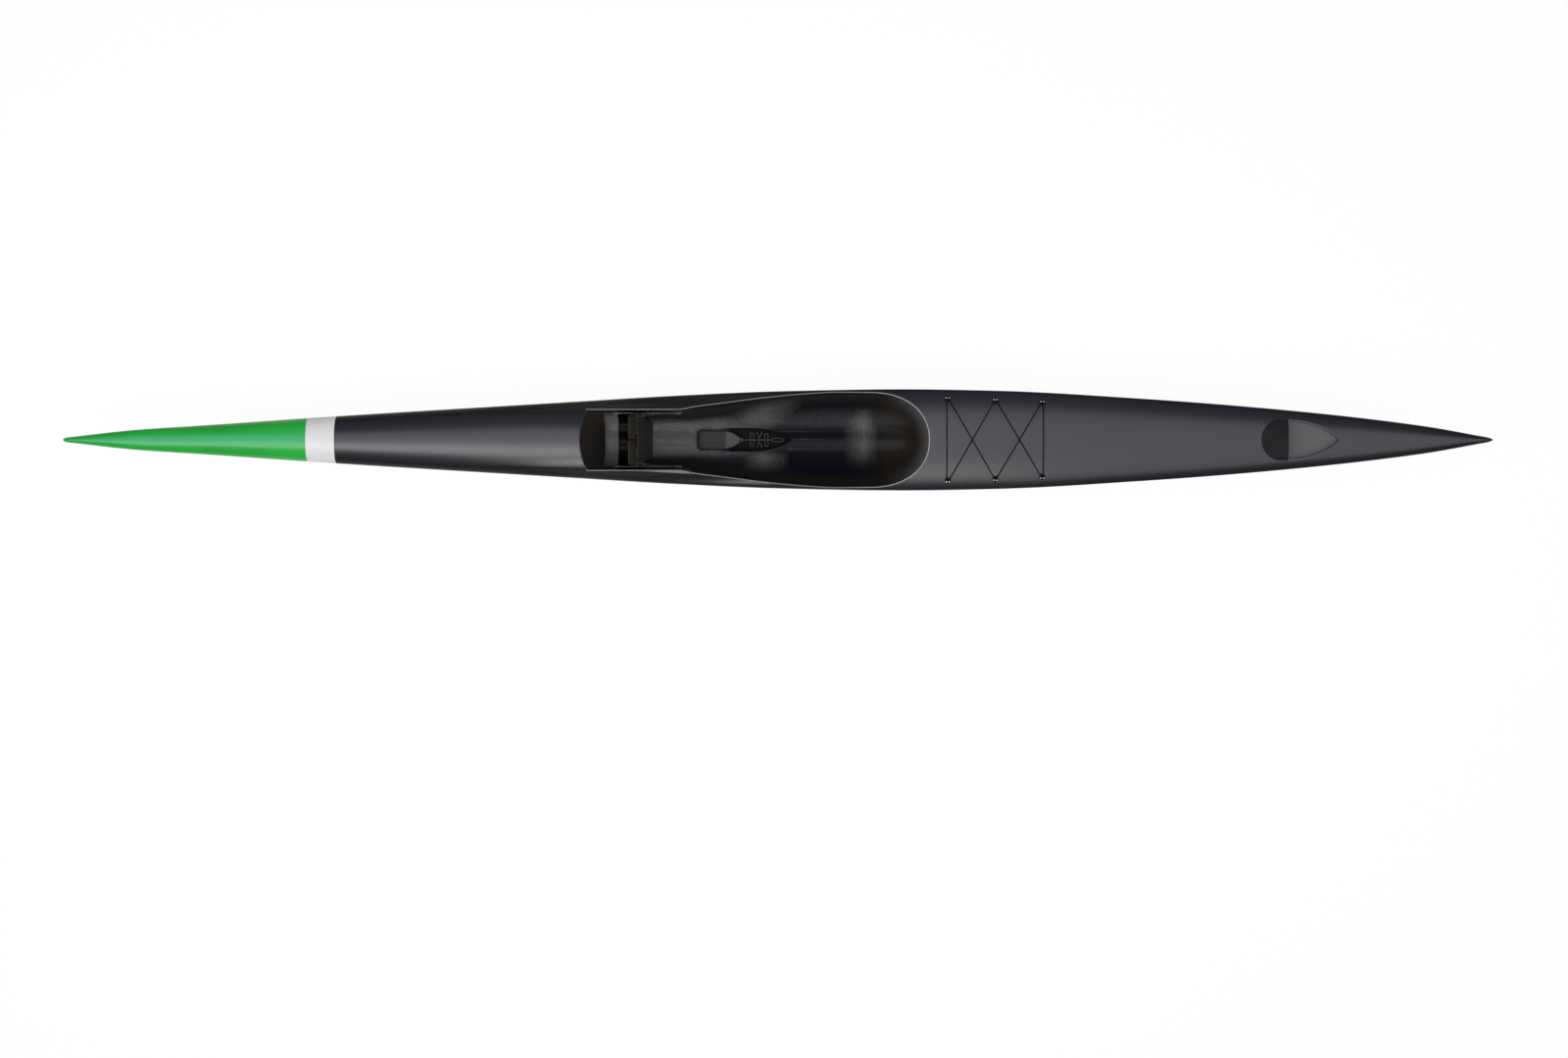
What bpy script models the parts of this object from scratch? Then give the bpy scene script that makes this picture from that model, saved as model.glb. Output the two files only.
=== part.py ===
"""Surfski, a single-seat ocean racing kayak with understern rudder.

Metres. +X runs aft, +Y to starboard, +Z up. The origin is on the flat keel strip at half length.
"""

import math

import bmesh
import bpy
import numpy as np
from mathutils import Vector

for old in list(bpy.data.objects):
    bpy.data.objects.remove(old, do_unlink=True)

MM = 0.001

# Hull
LENGTH = 6.400
BEAM = 0.456
HULL_SKIN = 3.5 * MM
DECK_SKIN = 3.0 * MM
KEEL_FLAT = 12 * MM          # half width of the flat keel strip
STEM_RUN = 0.085             # length of the rounded forefoot
STEM_LIFT = 0.225
TRANSOM_RUN = 0.060
TRANSOM_LIFT = 0.095
SOLID_END = 0.130            # the shells are solid this far in from each tip
TIP_ROUND = 0.030            # length over which bow and stern are rounded in plan
BOW_TIP_DROP = 0.020
STERN_TIP_DROP = 0.006
STATION_GAP = 0.200
HULL_POINTS = 8              # from the keel to each sheer
DECK_POINTS = 13             # from sheer to sheer
SEAT_GAP = 0.3 * MM          # gap between pieces that rest on or are bonded to each other

# Deck
DECK_FULLNESS = 2.2
SCALLOP_FORE = -1.360
SCALLOP_AFT = -0.020
SCALLOP_DEPTH = 9 * MM
SCALLOP_INNER = 0.76

# Cockpit moulding
COCKPIT_FRONT = -0.904
COCKPIT_AFT = 0.661
FRONT_SWEEP = 0.030
AFT_CAP = 0.266
AFT_CAP_POWER = 1.8
RIM_WIDTH = 5 * MM
RIM_PROUD = 1.2 * MM
RIM_DEPTH = 6 * MM
TUB_SKIN = 2.5 * MM
FRONT_RAMP = 0.105
BACK_RUN = 0.370
FOOT_FULLNESS = 3.5
SEAT_FULLNESS = 2.4
TUB_ANGLES = np.linspace(-math.pi / 2, math.pi / 2, 19)
FLOOR_RIDGE = 8 * MM
RIDGE_HALF = 0.050

# Foot rails
RAIL_FRONT = -0.765
RAIL_AFT = -0.455
RAIL_Z = 0.165
RAIL_HEIGHT = 14 * MM
RAIL_THICK = 7 * MM
NOTCH_PITCH = 20 * MM
NOTCH_WIDTH = 7 * MM
NOTCH_DEPTH = 3.5 * MM
RAIL_FOOT = 30 * MM          # length of each bracket that joins a rail to the wall
RAIL_OFF = 2.5 * MM          # from the wall to the back of a rail
RAIL_SCREW_HEAD_R = 4.2 * MM
RAIL_SCREW_HEAD = 1.9 * MM
RAIL_SCREW_R = 2.0 * MM
RAIL_SCREW_LENGTH = 6.0 * MM

# Footplate and pedals
HINGE_X = -0.657
HINGE_Z = 0.212
PLATE_LEAN = math.radians(28.7)
PLATE_DROP = 0.130
PLATE_TOP_HALF = 0.120
PLATE_BOTTOM_HALF = 0.080
PLATE_THICK = 8 * MM
HINGE_CLEAR = 8.5 * MM       # from the hinge line to the edge of the footplate or pedal
KNUCKLE_R = 5.5 * MM
PIN_R = 2.5 * MM
RUN_GAP = 0.35 * MM          # radial clearance of turning and sliding pieces
PIN_MID = 0.060
PIN_LENGTH = 0.060
KNUCKLE_LENGTH = 12 * MM
PEDAL_HEIGHT = 0.066
PEDAL_THICK = 6 * MM
PEDAL_INNER = 3 * MM
PEDAL_OUTER = 0.113
PEDAL_HOLE_Y = 0.100
PEDAL_HOLE_UP = 0.036

# Clamps and lock plungers
CLAMP_FRONT = -0.674
CLAMP_AFT = -0.618
CLAMP_WALL = 4 * MM
PLUNGER_X = -0.656
PLUNGER_R = 2.5 * MM
PLUNGER_KNOB_R = 6 * MM
PLUNGER_KNOB = 7 * MM

# Rudder lines
LINE_R = 1.5 * MM
CONDUIT_BORE = 2.5 * MM
CONDUIT_R = 3.5 * MM

# Stern recess and hood
STERN = LENGTH / 2
RECESS_FRONT = STERN - 1.043
HOOD_AFT = STERN - 0.929
RECESS_AFT = STERN - 0.694
RECESS_HALF = 0.0867
RECESS_SHOULDER = 0.084      # length of the round front end
RECESS_FLOOR = 0.190
RECESS_SKIN = 2.5 * MM
HOOD_SKIN = 2.5 * MM
HOOD_RISE = 11 * MM

# Rudder
RUDDER_X = STERN - 0.965
STOCK_R = 5 * MM
TUBE_R = 9 * MM
TUBE_BORE = 7 * MM
BUSH_FLANGE_R = 11 * MM
BUSH_FLANGE = 2.5 * MM
BUSH_LENGTH = 25 * MM
BLADE_CHORD = 0.119
BLADE_DEPTH = 0.176
BLADE_THICK = 0.125          # thickness as a share of the chord
BLADE_AHEAD = 0.036          # root leading edge ahead of the stock
BLADE_GAP = 3 * MM
STOCK_IN_BLADE = 24 * MM
YOKE_ARM = 0.040
YOKE_THICK = 7 * MM
YOKE_BOSS_R = 11 * MM
YOKE_END_R = 7 * MM
YOKE_SCREW_R = 7 * MM
YOKE_SCREW_HEAD = 4 * MM

# Deck eyes and bungee
EYES = ((0.741, 0.182), (0.955, 0.175), (1.166, 0.1655))
EYE_R = 11 * MM
EYE_BASE = 3.0 * MM
ARCH_HALF = 4.4 * MM         # inner half width of the arch
ARCH_BAR = 2.6 * MM
ARCH_LENGTH = 4.0 * MM
CORD_R = 2.6 * MM
CORD_GAP = 0.8 * MM
ARCH_GAP = 0.9 * MM          # under and over the cord in an eye
CORD_BEND = 12 * MM
EYE_SCREW_R = 2.2 * MM
EYE_SCREW_ALONG = 6.2 * MM
EYE_SCREW_OUT = 5.6 * MM

# Bailer
WELL_FRONT = -0.392
WELL_AFT = 0.037
WELL_HALF = 0.049
WELL_FLOOR = 0.022
WELL_NOSE = 0.024
WELL_BEAD = 2 * MM
WELL_PROUD = 2.5 * MM
BAILER_FRONT = -0.379
BAILER_SQUARE = -0.261       # where the box ends and the ogive tail begins
BAILER_AFT = -0.197
BAILER_HALF = 0.0386
BAILER_TAIL_HALF = 0.012
BAILER_TOP = 0.044
COVER_THICK = 3 * MM
CHUTE_PIN_R = 2 * MM
LEVER_PIN_R = 1.6 * MM
CHEEK_GAP = 1 * MM           # between the lever and each cheek that carries its pin
CHEEK_THICK = 4 * MM
THROAT_WALL = 2.5 * MM
THROAT_GAP = 0.8 * MM
CHUTE_FRONT = -0.368
CHUTE_AFT = -0.203
LUG_LENGTH = 6 * MM
LUG_SETBACK = 2 * MM         # from the chute's aft end
CHUTE_HALF = 0.020
CHUTE_TAIL_HALF = 0.007
CHUTE_TOP = 0.012
CHUTE_PIN_X = -0.362
LEVER_X = -0.188
LEVER_Z = 0.039
CRANK_PAST_LUG = 1 * MM
LEVER_LENGTH = 0.190
LEVER_R = 2.5 * MM
LOOP_R = 10 * MM
LOOP_BAR = 2.0 * MM
LOOPS = (0.048, 0.114)       # distance of each loop from the lever's pivot


def fair(points):
    """A monotone cubic curve through (station, value) points."""
    s, v = np.array(points, dtype=float).T
    gap = np.diff(s)
    rise = np.diff(v) / gap
    slope = np.zeros(len(s))
    slope[0] = rise[0]
    slope[-1] = rise[-1]
    for i in range(1, len(s) - 1):
        if rise[i - 1] * rise[i] > 0:
            a = 2 * gap[i] + gap[i - 1]
            b = gap[i] + 2 * gap[i - 1]
            slope[i] = (a + b) / (a / rise[i - 1] + b / rise[i])

    def value(at):
        at = min(max(at, s[0]), s[-1])
        i = min(int(np.searchsorted(s, at, side="right")) - 1, len(gap) - 1)
        t = (at - s[i]) / gap[i]
        return (
            v[i] * (1 + 2 * t) * (1 - t) ** 2
            + v[i + 1] * t * t * (3 - 2 * t)
            + gap[i] * t * (1 - t) * (slope[i] * (1 - t) - slope[i + 1] * t)
        )

    return value


# Hull lines, by station as a share of the length from the bow
breadth_line = fair((
    (0, 0.04), (0.05, 0.193), (0.10, 0.289), (0.175, 0.439), (0.325, 0.702), (0.425, 0.873),
    (0.50, 0.962), (0.585, 1.0), (0.65, 0.971), (0.75, 0.820), (0.85, 0.601), (0.95, 0.281), (1, 0.035),
))
keel_line = fair((
    (0, 0.098), (0.05, 0.059), (0.10, 0.040), (0.175, 0.0235), (0.25, 0.0125), (0.325, 0.004),
    (0.385, 0), (0.585, 0), (0.65, 0.008), (0.75, 0.0215), (0.85, 0.0435), (0.95, 0.0785), (1, 0.100),
))
crown_line = fair((
    (0, 0.350), (0.05, 0.366), (0.10, 0.365), (0.175, 0.353), (0.325, 0.324), (0.36, 0.315),
    (0.425, 0.278), (0.475, 0.260), (0.55, 0.253), (0.65, 0.244), (0.85, 0.2275), (0.95, 0.217), (1, 0.206),
))
sheer_line = fair((
    (0, 0.92), (0.05, 0.92), (0.10, 0.87), (0.175, 0.80), (0.25, 0.785), (0.325, 0.76), (0.37, 0.68),
    (0.425, 0.745), (0.475, 0.81), (0.55, 0.84), (0.65, 0.85), (0.85, 0.81), (1, 0.80),
))
fullness_line = fair(((0, 1.5), (0.3, 2.1), (0.6, 2.3), (0.85, 2.0), (1, 1.7)))

# Outer half width of the cockpit rim and height of the cockpit floor, along X
rim_line = fair((
    (-0.904, 0.139), (-0.470, 0.139), (-0.395, 0.152), (-0.250, 0.171), (-0.075, 0.193),
    (0.120, 0.211), (0.241, 0.217), (0.395, 0.216),
))
floor_line = fair(((-0.904, 0.066), (-0.420, 0.066), (-0.30, 0.060), (-0.03, 0.046), (0.30, 0.042), (0.661, 0.048)))


def quarter(distance, run, power):
    """Rises from 0 at the tip to 1 after a run, as a quarter of a superellipse."""
    t = min(max(distance / run, 0.0), 1.0)
    return (1 - (1 - t) ** power) ** (1 / power)


def share(x):
    return x / LENGTH + 0.5


def from_bow(x):
    return x + LENGTH / 2


def from_stern(x):
    return LENGTH / 2 - x


def half_breadth(x):
    tip = min(quarter(from_bow(x), TIP_ROUND, 2), quarter(from_stern(x), TIP_ROUND, 2))
    return BEAM / 2 * breadth_line(share(x)) * max(tip, 0.15)


def keel_z(x):
    stem = STEM_LIFT * (1 - quarter(from_bow(x), STEM_RUN, 1.5))
    transom = TRANSOM_LIFT * (1 - quarter(from_stern(x), TRANSOM_RUN, 1.5))
    return keel_line(share(x)) + stem + transom


def crown_z(x):
    bow = BOW_TIP_DROP * (1 - quarter(from_bow(x), TIP_ROUND, 2))
    stern = STERN_TIP_DROP * (1 - quarter(from_stern(x), TIP_ROUND, 2))
    return crown_line(share(x)) - bow - stern


def sheer_z(x):
    return keel_z(x) + sheer_line(share(x)) * (crown_z(x) - keel_z(x))


def scallop(x, r):
    """Depth of the hollow between the cockpit rim and the sheer."""
    if not SCALLOP_FORE < x < SCALLOP_AFT or r < SCALLOP_INNER:
        return 0.0
    along = math.sin(math.pi * (x - SCALLOP_FORE) / (SCALLOP_AFT - SCALLOP_FORE))
    across = math.sin(math.pi * (r - SCALLOP_INNER) / (1 - SCALLOP_INNER))
    return SCALLOP_DEPTH * along * across


def deck_z(x, y, inset=0.0):
    """Height of the deck, with its crown lowered by the inset."""
    r = min(abs(y) / half_breadth(x), 1.0)
    crown = max(crown_z(x) - inset - sheer_z(x), 0.0002)
    return sheer_z(x) + crown * (1 - r**DECK_FULLNESS) ** (1 / DECK_FULLNESS) - scallop(x, r)


def deck_normal(x, y):
    step = 2 * MM
    across = (deck_z(x, y + step) - deck_z(x, y - step)) / (2 * step)
    along = (deck_z(x + step, y) - deck_z(x - step, y)) / (2 * step)
    return Vector((-along, -across, 1)).normalized()


def stations():
    """Closer near the tips, where the outline turns."""
    tip = [0, 0.002, 0.007, 0.016, 0.030, 0.050, 0.085, SOLID_END]
    count = round((LENGTH - 2 * SOLID_END) / STATION_GAP)
    middle = np.linspace(tip[-1], LENGTH - tip[-1], count + 1)[1:-1]
    steps = tip + list(middle) + [LENGTH - t for t in reversed(tip)]
    return [s - LENGTH / 2 for s in steps]


def arc_share(angle, power):
    """Signed across and down shares of a superellipse at an angle from its middle."""
    across = math.copysign(abs(math.sin(angle)) ** (2 / power), angle)
    return across, max(math.cos(angle), 0.0) ** (2 / power)


def hull_arc(x, inset, count):
    """Points from the port sheer round the keel to the starboard sheer."""
    breadth = max(half_breadth(x) - inset, 0.5 * half_breadth(x))
    flat = min(KEEL_FLAT, 0.2 * breadth)
    top = sheer_z(x)
    deep = max(top - keel_z(x) - inset, 0.0)
    right = []
    for angle in np.linspace(0, math.pi / 2, count):
        across, down = arc_share(angle, fullness_line(share(x)))
        right.append((x, flat + (breadth - flat) * across, top - deep * down))
    return [(px, -py, pz) for px, py, pz in reversed(right)] + right


def deck_arc(x, inset, count):
    """Points from the port sheer over the crown to the starboard sheer."""
    breadth = max(half_breadth(x) - inset, 0.5 * half_breadth(x))
    ring = []
    for angle in np.linspace(-math.pi / 2, math.pi / 2, count):
        across, _ = arc_share(angle, DECK_FULLNESS)
        y = breadth * across
        outer = half_breadth(x) * across
        ring.append((x, y, deck_z(x, outer, inset) + SEAT_GAP))
    return ring


def mesh_object(name, points, faces, look, origin=(0, 0, 0)):
    """One closed body with its faces turned outwards, and its origin where it is asked for."""
    origin = Vector(origin)
    mesh = bpy.data.meshes.new(name)
    mesh.from_pydata([tuple(Vector(p) - origin) for p in points], [], faces)
    work = bmesh.new()
    work.from_mesh(mesh)
    bmesh.ops.recalc_face_normals(work, faces=work.faces)
    work.to_mesh(mesh)
    work.free()
    mesh.shade_smooth()
    mesh.set_sharp_from_angle(angle=math.radians(35))
    if look:
        mesh.materials.append(look)
    piece = bpy.data.objects.new(name, mesh)
    piece.location = origin
    bpy.context.scene.collection.objects.link(piece)
    return piece


def loft(name, rings, look, origin=(0, 0, 0), walls=False):
    """Skin over rings of equally many points, closed by a flat face at each end.

    Where the rings are walls, an outer arc and then the inner one back, each outer facet is
    split along the same diagonal as the inner facet behind it, so thin walls never cross.
    """
    n = len(rings[0])
    points = [p for ring in rings for p in ring]
    faces = [tuple(range(n)), tuple(range(len(points) - n, len(points)))]
    for k in range(len(rings) - 1):
        a = k * n
        for i in range(n):
            j = (i + 1) % n
            if not walls:
                faces.append((a + i, a + j, a + n + j, a + n + i))
            elif i < n // 2:
                faces += [(a + i, a + j, a + n + j), (a + i, a + n + j, a + n + i)]
            else:
                faces += [(a + i, a + j, a + n + i), (a + j, a + n + j, a + n + i)]
    return mesh_object(name, points, faces, look, origin)


def prism(name, outline, low, high, look=None, origin=(0, 0, 0)):
    """An outline in plan, extruded from one height to another."""
    rings = [[(x, y, low) for x, y in outline], [(x, y, high) for x, y in outline]]
    return loft(name, rings, look, origin)


def side_prism(name, outline, port, starboard, look=None, origin=(0, 0, 0)):
    """An outline in side view, x and z, extruded across the boat."""
    rings = [[(x, port, z) for x, z in outline], [(x, starboard, z) for x, z in outline]]
    return loft(name, rings, look, origin)


def block(name, low, high, look=None, origin=(0, 0, 0)):
    outline = [(low[0], low[1]), (high[0], low[1]), (high[0], high[1]), (low[0], high[1])]
    return prism(name, outline, low[2], high[2], look, origin)


def circle(radius, sides):
    turn = 2 * math.pi / sides
    return [(radius * math.cos(i * turn), radius * math.sin(i * turn)) for i in range(sides)]


def frame_along(direction):
    """Two unit vectors square to a direction."""
    direction = Vector(direction).normalized()
    side = direction.cross(Vector((0, 0, 1)))
    if side.length < 0.01:
        side = Vector((0, 1, 0))
    side.normalize()
    return side, side.cross(direction)


def turned(name, start, direction, profile, sides, look=None, origin=(0, 0, 0)):
    """A round solid from (distance, radius) steps along a line."""
    start = Vector(start)
    direction = Vector(direction).normalized()
    side, up = frame_along(direction)
    rings = []
    for distance, radius in profile:
        centre = start + direction * distance
        rings.append([centre + side * a + up * b for a, b in circle(radius, sides)])
    return loft(name, rings, look, origin)


def rod(name, start, end, radius, sides, look=None, origin=(0, 0, 0)):
    run = Vector(end) - Vector(start)
    return turned(name, start, run, ((0, radius), (run.length, radius)), sides, look, origin)


def tube(name, route, radius, bore, sides, look):
    """A pipe along a route, open at both ends."""
    outer = sweep_rings(route, radius, sides)
    inner = sweep_rings(route, bore, sides)
    rings = outer + inner[::-1]
    n = sides
    points = [p for ring in rings for p in ring]
    faces = []
    for k in range(len(rings)):
        a = k * n
        b = ((k + 1) % len(rings)) * n
        for i in range(n):
            j = (i + 1) % n
            faces.append((a + i, a + j, b + j, b + i))
    return mesh_object(name, points, faces, look)


def sweep_rings(route, radius, sides):
    """Rings square to a route, carried along without twist."""
    route = [Vector(p) for p in route]
    side, _ = frame_along(route[1] - route[0])
    rings = []
    for i, point in enumerate(route):
        ahead = route[min(i + 1, len(route) - 1)] - route[max(i - 1, 0)]
        ahead.normalize()
        side = (side - ahead * side.dot(ahead)).normalized()
        up = side.cross(ahead)
        rings.append([point + side * a + up * b for a, b in circle(radius, sides)])
    return rings


def cord(name, route, radius, look, closed=False):
    """A round cord along a route of points."""
    curve = bpy.data.curves.new(name, "CURVE")
    curve.dimensions = "3D"
    curve.bevel_depth = radius
    curve.bevel_resolution = 2
    curve.resolution_u = 1
    curve.render_resolution_u = 0
    curve.use_fill_caps = not closed
    spline = curve.splines.new("POLY")
    spline.points.add(len(route) - 1)
    for slot, point in zip(spline.points, route):
        slot.co = (*point, 1)
    spline.use_cyclic_u = closed
    curve.materials.append(look)
    piece = bpy.data.objects.new(name, curve)
    bpy.context.scene.collection.objects.link(piece)
    return piece


def carve(piece, tool, operation="DIFFERENCE"):
    """Cut a tool out of a piece, or join it on."""
    change = piece.modifiers.new(operation.lower(), "BOOLEAN")
    change.operation = operation
    change.solver = "EXACT"
    change.object = tool
    tool.hide_render = True
    tool.display_type = "WIRE"
    return piece


def offset(outline, distance):
    """A closed outline moved outwards, its edges kept parallel."""
    points = np.array(outline, dtype=float)
    ahead = np.roll(points, -1, axis=0) - points
    ahead /= np.linalg.norm(ahead, axis=1)[:, None]
    area = np.sum(points[:, 0] * np.roll(points[:, 1], -1) - points[:, 1] * np.roll(points[:, 0], -1))
    normal = np.stack([ahead[:, 1], -ahead[:, 0]], axis=1) * math.copysign(1, area)
    middle = normal + np.roll(normal, 1, axis=0)
    middle /= np.linalg.norm(middle, axis=1)[:, None]
    reach = distance / np.maximum(np.sum(middle * normal, axis=1), 0.4)
    return [tuple(p) for p in points + middle * reach[:, None]]


def smooth_route(points, count):
    """Evenly spaced points on a Catmull-Rom curve through chosen points."""
    p = [Vector(q) for q in points]
    p = [2 * p[0] - p[1]] + p + [2 * p[-1] - p[-2]]
    fine = []
    for i in range(1, len(p) - 2):
        for k in range(20):
            t = k / 20
            fine.append(0.5 * (
                2 * p[i] + (p[i + 1] - p[i - 1]) * t
                + (2 * p[i - 1] - 5 * p[i] + 4 * p[i + 1] - p[i + 2]) * t * t
                + (3 * p[i] - p[i - 1] - 3 * p[i + 1] + p[i + 2]) * t**3
            ))
    fine.append(p[-2])
    run = np.concatenate([[0], np.cumsum([(b - a).length for a, b in zip(fine, fine[1:])])])
    even = np.linspace(0, run[-1], count)
    table = np.array(fine)
    return [Vector([np.interp(d, run, table[:, axis]) for axis in range(3)]) for d in even]


def material(name, colour, roughness, metallic=0.0, coat=0.0):
    made = bpy.data.materials.new(name)
    made.use_nodes = True
    shader = made.node_tree.nodes["Principled BSDF"]
    shader.inputs["Base Color"].default_value = (*colour, 1)
    shader.inputs["Roughness"].default_value = roughness
    shader.inputs["Metallic"].default_value = metallic
    shader.inputs["Coat Weight"].default_value = coat
    return made


CHARCOAL = material("charcoal_paint", (0.045, 0.048, 0.055), 0.35, coat=0.3)
NEAR_BLACK = material("black_paint", (0.020, 0.020, 0.021), 0.35, coat=0.3)
CARBON = material("carbon_weave", (0.018, 0.018, 0.020), 0.40, coat=0.5)
RECESS_GREY = material("recess_paint", (0.130, 0.135, 0.145), 0.40)
BLACK_PLASTIC = material("black_plastic", (0.030, 0.029, 0.027), 0.45)
GREY_PLASTIC = material("grey_plastic", (0.070, 0.068, 0.065), 0.45)
RAIL_METAL = material("rail_metal", (0.32, 0.34, 0.38), 0.30, 0.9)
STEEL = material("steel", (0.55, 0.55, 0.56), 0.22, 1.0)
CORD_BLACK = material("cord", (0.020, 0.020, 0.022), 0.85)
LINE_GREY = material("rudder_line", (0.20, 0.20, 0.21), 0.70)


def hull_shell():
    rings = []
    for x in stations():
        outer = hull_arc(x, 0, HULL_POINTS)
        inner = hull_arc(x, HULL_SKIN, HULL_POINTS)
        if min(from_bow(x), from_stern(x)) <= SOLID_END:
            inner = [(px, py, sheer_z(x)) for px, py, _ in inner]
        rings.append(outer + inner[::-1])
    hull = loft("hull_shell", rings, NEAR_BLACK, walls=True)
    low = keel_z(RUDDER_X) - 0.02
    stock_hole = rod("stock_hole", (RUDDER_X, 0, low), (RUDDER_X, 0, low + 0.05), TUBE_R + SEAT_GAP, 20)
    carve(hull, stock_hole)
    throat = prism("throat_hole", offset(throat_outline(), THROAT_WALL + SEAT_GAP), -0.02, 0.02)
    return carve(hull, throat)


def deck_shell():
    rings = []
    for x in stations():
        outer = deck_arc(x, 0, DECK_POINTS)
        inner = deck_arc(x, DECK_SKIN, DECK_POINTS)
        if min(from_bow(x), from_stern(x)) <= SOLID_END:
            inner = [(px, py, sheer_z(x) + SEAT_GAP) for px, py, _ in inner]
        rings.append(outer + inner[::-1])
    deck = loft("deck_shell", rings, CHARCOAL, walls=True)
    opening = offset(tub_outline(), RIM_WIDTH + SEAT_GAP)
    carve(deck, prism("cockpit_cut", opening, 0.1, 0.5))
    recess = offset(recess_outline(), RIM_WIDTH + SEAT_GAP)
    return carve(deck, prism("recess_cut", recess, 0.1, 0.5))


def tub_spot(s, angle):
    """A point of the cockpit moulding's inner face, from front to back and port to starboard."""
    power = FOOT_FULLNESS + (SEAT_FULLNESS - FOOT_FULLNESS) * min(max((s - 0.25) / 0.35, 0), 1)
    across, down = arc_share(angle, power)
    front = COCKPIT_FRONT + FRONT_SWEEP * across**2
    cap = (1 - abs(across) ** AFT_CAP_POWER) ** (1 / AFT_CAP_POWER)
    aft = COCKPIT_AFT - RIM_WIDTH - AFT_CAP * (1 - cap)
    x = front + (aft - front) * s
    side_front = COCKPIT_FRONT + FRONT_SWEEP
    side_aft = COCKPIT_AFT - RIM_WIDTH - AFT_CAP
    y = across * (rim_line(side_front + (side_aft - side_front) * s) - RIM_WIDTH)
    deep = quarter(x - front, FRONT_RAMP, 1.35) * quarter(aft - x, BACK_RUN, 1.8) * down
    top = deck_z(x, y) + RIM_PROUD
    ridge = FLOOR_RIDGE * max(1 - abs(y) / RIDGE_HALF, 0)
    return x, y, top - deep * (top - floor_line(x) - ridge)


def tub_grid():
    """Rows of the cockpit moulding, closer on its front and back walls."""
    length = COCKPIT_AFT - COCKPIT_FRONT
    front = [FRONT_RAMP * f for f in (0, 0.08, 0.22, 0.42, 0.68, 1.0)]
    middle = list(np.linspace(FRONT_RAMP, length - BACK_RUN, 14)[1:])
    back = [length - BACK_RUN * f for f in (0.75, 0.52, 0.34, 0.20, 0.10, 0.03, 0)]
    return [[tub_spot(d / length, a) for a in TUB_ANGLES] for d in front + middle + back]


def border(rows, columns):
    """Indices of a grid's edge, once round."""
    edge = [(0, j) for j in range(columns)]
    edge += [(i, columns - 1) for i in range(1, rows)]
    edge += [(rows - 1, j) for j in range(columns - 2, -1, -1)]
    edge += [(i, 0) for i in range(rows - 2, 0, -1)]
    return edge


def tub_outline():
    grid = tub_grid()
    return [grid[i][j][:2] for i, j in border(len(grid), len(grid[0]))]


def wall_y(x, z):
    """Half width of the cockpit moulding's inner face at a height, on its flat facets."""
    places, widths = [], []
    for row in tub_grid():
        section = row[len(row) // 2:]
        width = float(np.interp(z, [p[2] for p in section], [p[1] for p in section]))
        widths.append(width)
        places.append(float(np.interp(width, [p[1] for p in section], [p[0] for p in section])))
    return float(np.interp(x, places, widths))


def cockpit_tub():
    grid = np.array(tub_grid())
    rows, columns = grid.shape[:2]
    normal = np.cross(np.gradient(grid, axis=0), np.gradient(grid, axis=1))
    normal /= np.maximum(np.linalg.norm(normal, axis=2), 1e-9)[:, :, None]
    under = grid - normal * TUB_SKIN
    edge = border(rows, columns)
    outline = tub_outline()
    inner_under = offset(outline, TUB_SKIN)
    outside = offset(outline, RIM_WIDTH)
    for (i, j), (x, y) in zip(edge, inner_under):
        under[i, j] = (x, y, grid[i, j, 2] - RIM_DEPTH)
    points = [tuple(p) for p in grid.reshape(-1, 3)] + [tuple(p) for p in under.reshape(-1, 3)]
    below = rows * columns
    faces = []
    for i in range(rows - 1):
        for j in range(columns - 1):
            a = i * columns + j
            for face in ((a, a + 1, a + columns + 1), (a, a + columns + 1, a + columns)):
                faces.append(face)
                faces.append(tuple(below + k for k in reversed(face)))
    top_ring = len(points)
    points += [(x, y, grid[i, j, 2]) for (i, j), (x, y) in zip(edge, outside)]
    low_ring = len(points)
    points += [(x, y, grid[i, j, 2] - RIM_DEPTH) for (i, j), (x, y) in zip(edge, outside)]
    n = len(edge)
    for k in range(n):
        m = (k + 1) % n
        a = edge[k][0] * columns + edge[k][1]
        b = edge[m][0] * columns + edge[m][1]
        faces.append((a, b, top_ring + m, top_ring + k))
        faces.append((top_ring + k, top_ring + m, low_ring + m, low_ring + k))
        faces.append((low_ring + k, low_ring + m, below + b, below + a))
    tub = mesh_object("cockpit_tub", points, faces, CARBON)
    carve(tub, prism("well_cut", offset(well_outline(), RIM_WIDTH + SEAT_GAP), WELL_FLOOR, 0.15))
    for sign in (-1, 1):
        name = "conduit_hole_port" if sign < 0 else "conduit_hole_starboard"
        route = [Vector((p[0], sign * p[1], p[2])) for p in conduit_route()[:4]]
        route[0] = route[0] * 2 - route[1]
        hole = loft(name, sweep_rings(route, CONDUIT_R + 2 * SEAT_GAP, 12), None)
        carve(tub, hole)
    return tub


def cup(name, outline, rim, floor, skin, depth, look):
    """A tray with an upright wall, a flat floor and a rim bead of a depth, from its outline in plan."""
    wall = offset(outline, skin)
    bead = offset(outline, RIM_WIDTH)
    rings = [
        [(x, y, floor) for x, y in outline],
        [(x, y, rim(x, y)) for x, y in outline],
        [(x, y, rim(x, y)) for x, y in bead],
        [(x, y, rim(x, y) - depth) for x, y in bead],
        [(x, y, rim(x, y) - depth) for x, y in wall],
        [(x, y, floor - skin) for x, y in wall],
    ]
    return loft(name, rings, look)


def mirrored(side):
    """Closes a half outline, given from front to aft on starboard, over to port."""
    port = [(x, -y) for x, y in reversed(side) if y > 1e-6]
    return side + port


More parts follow.
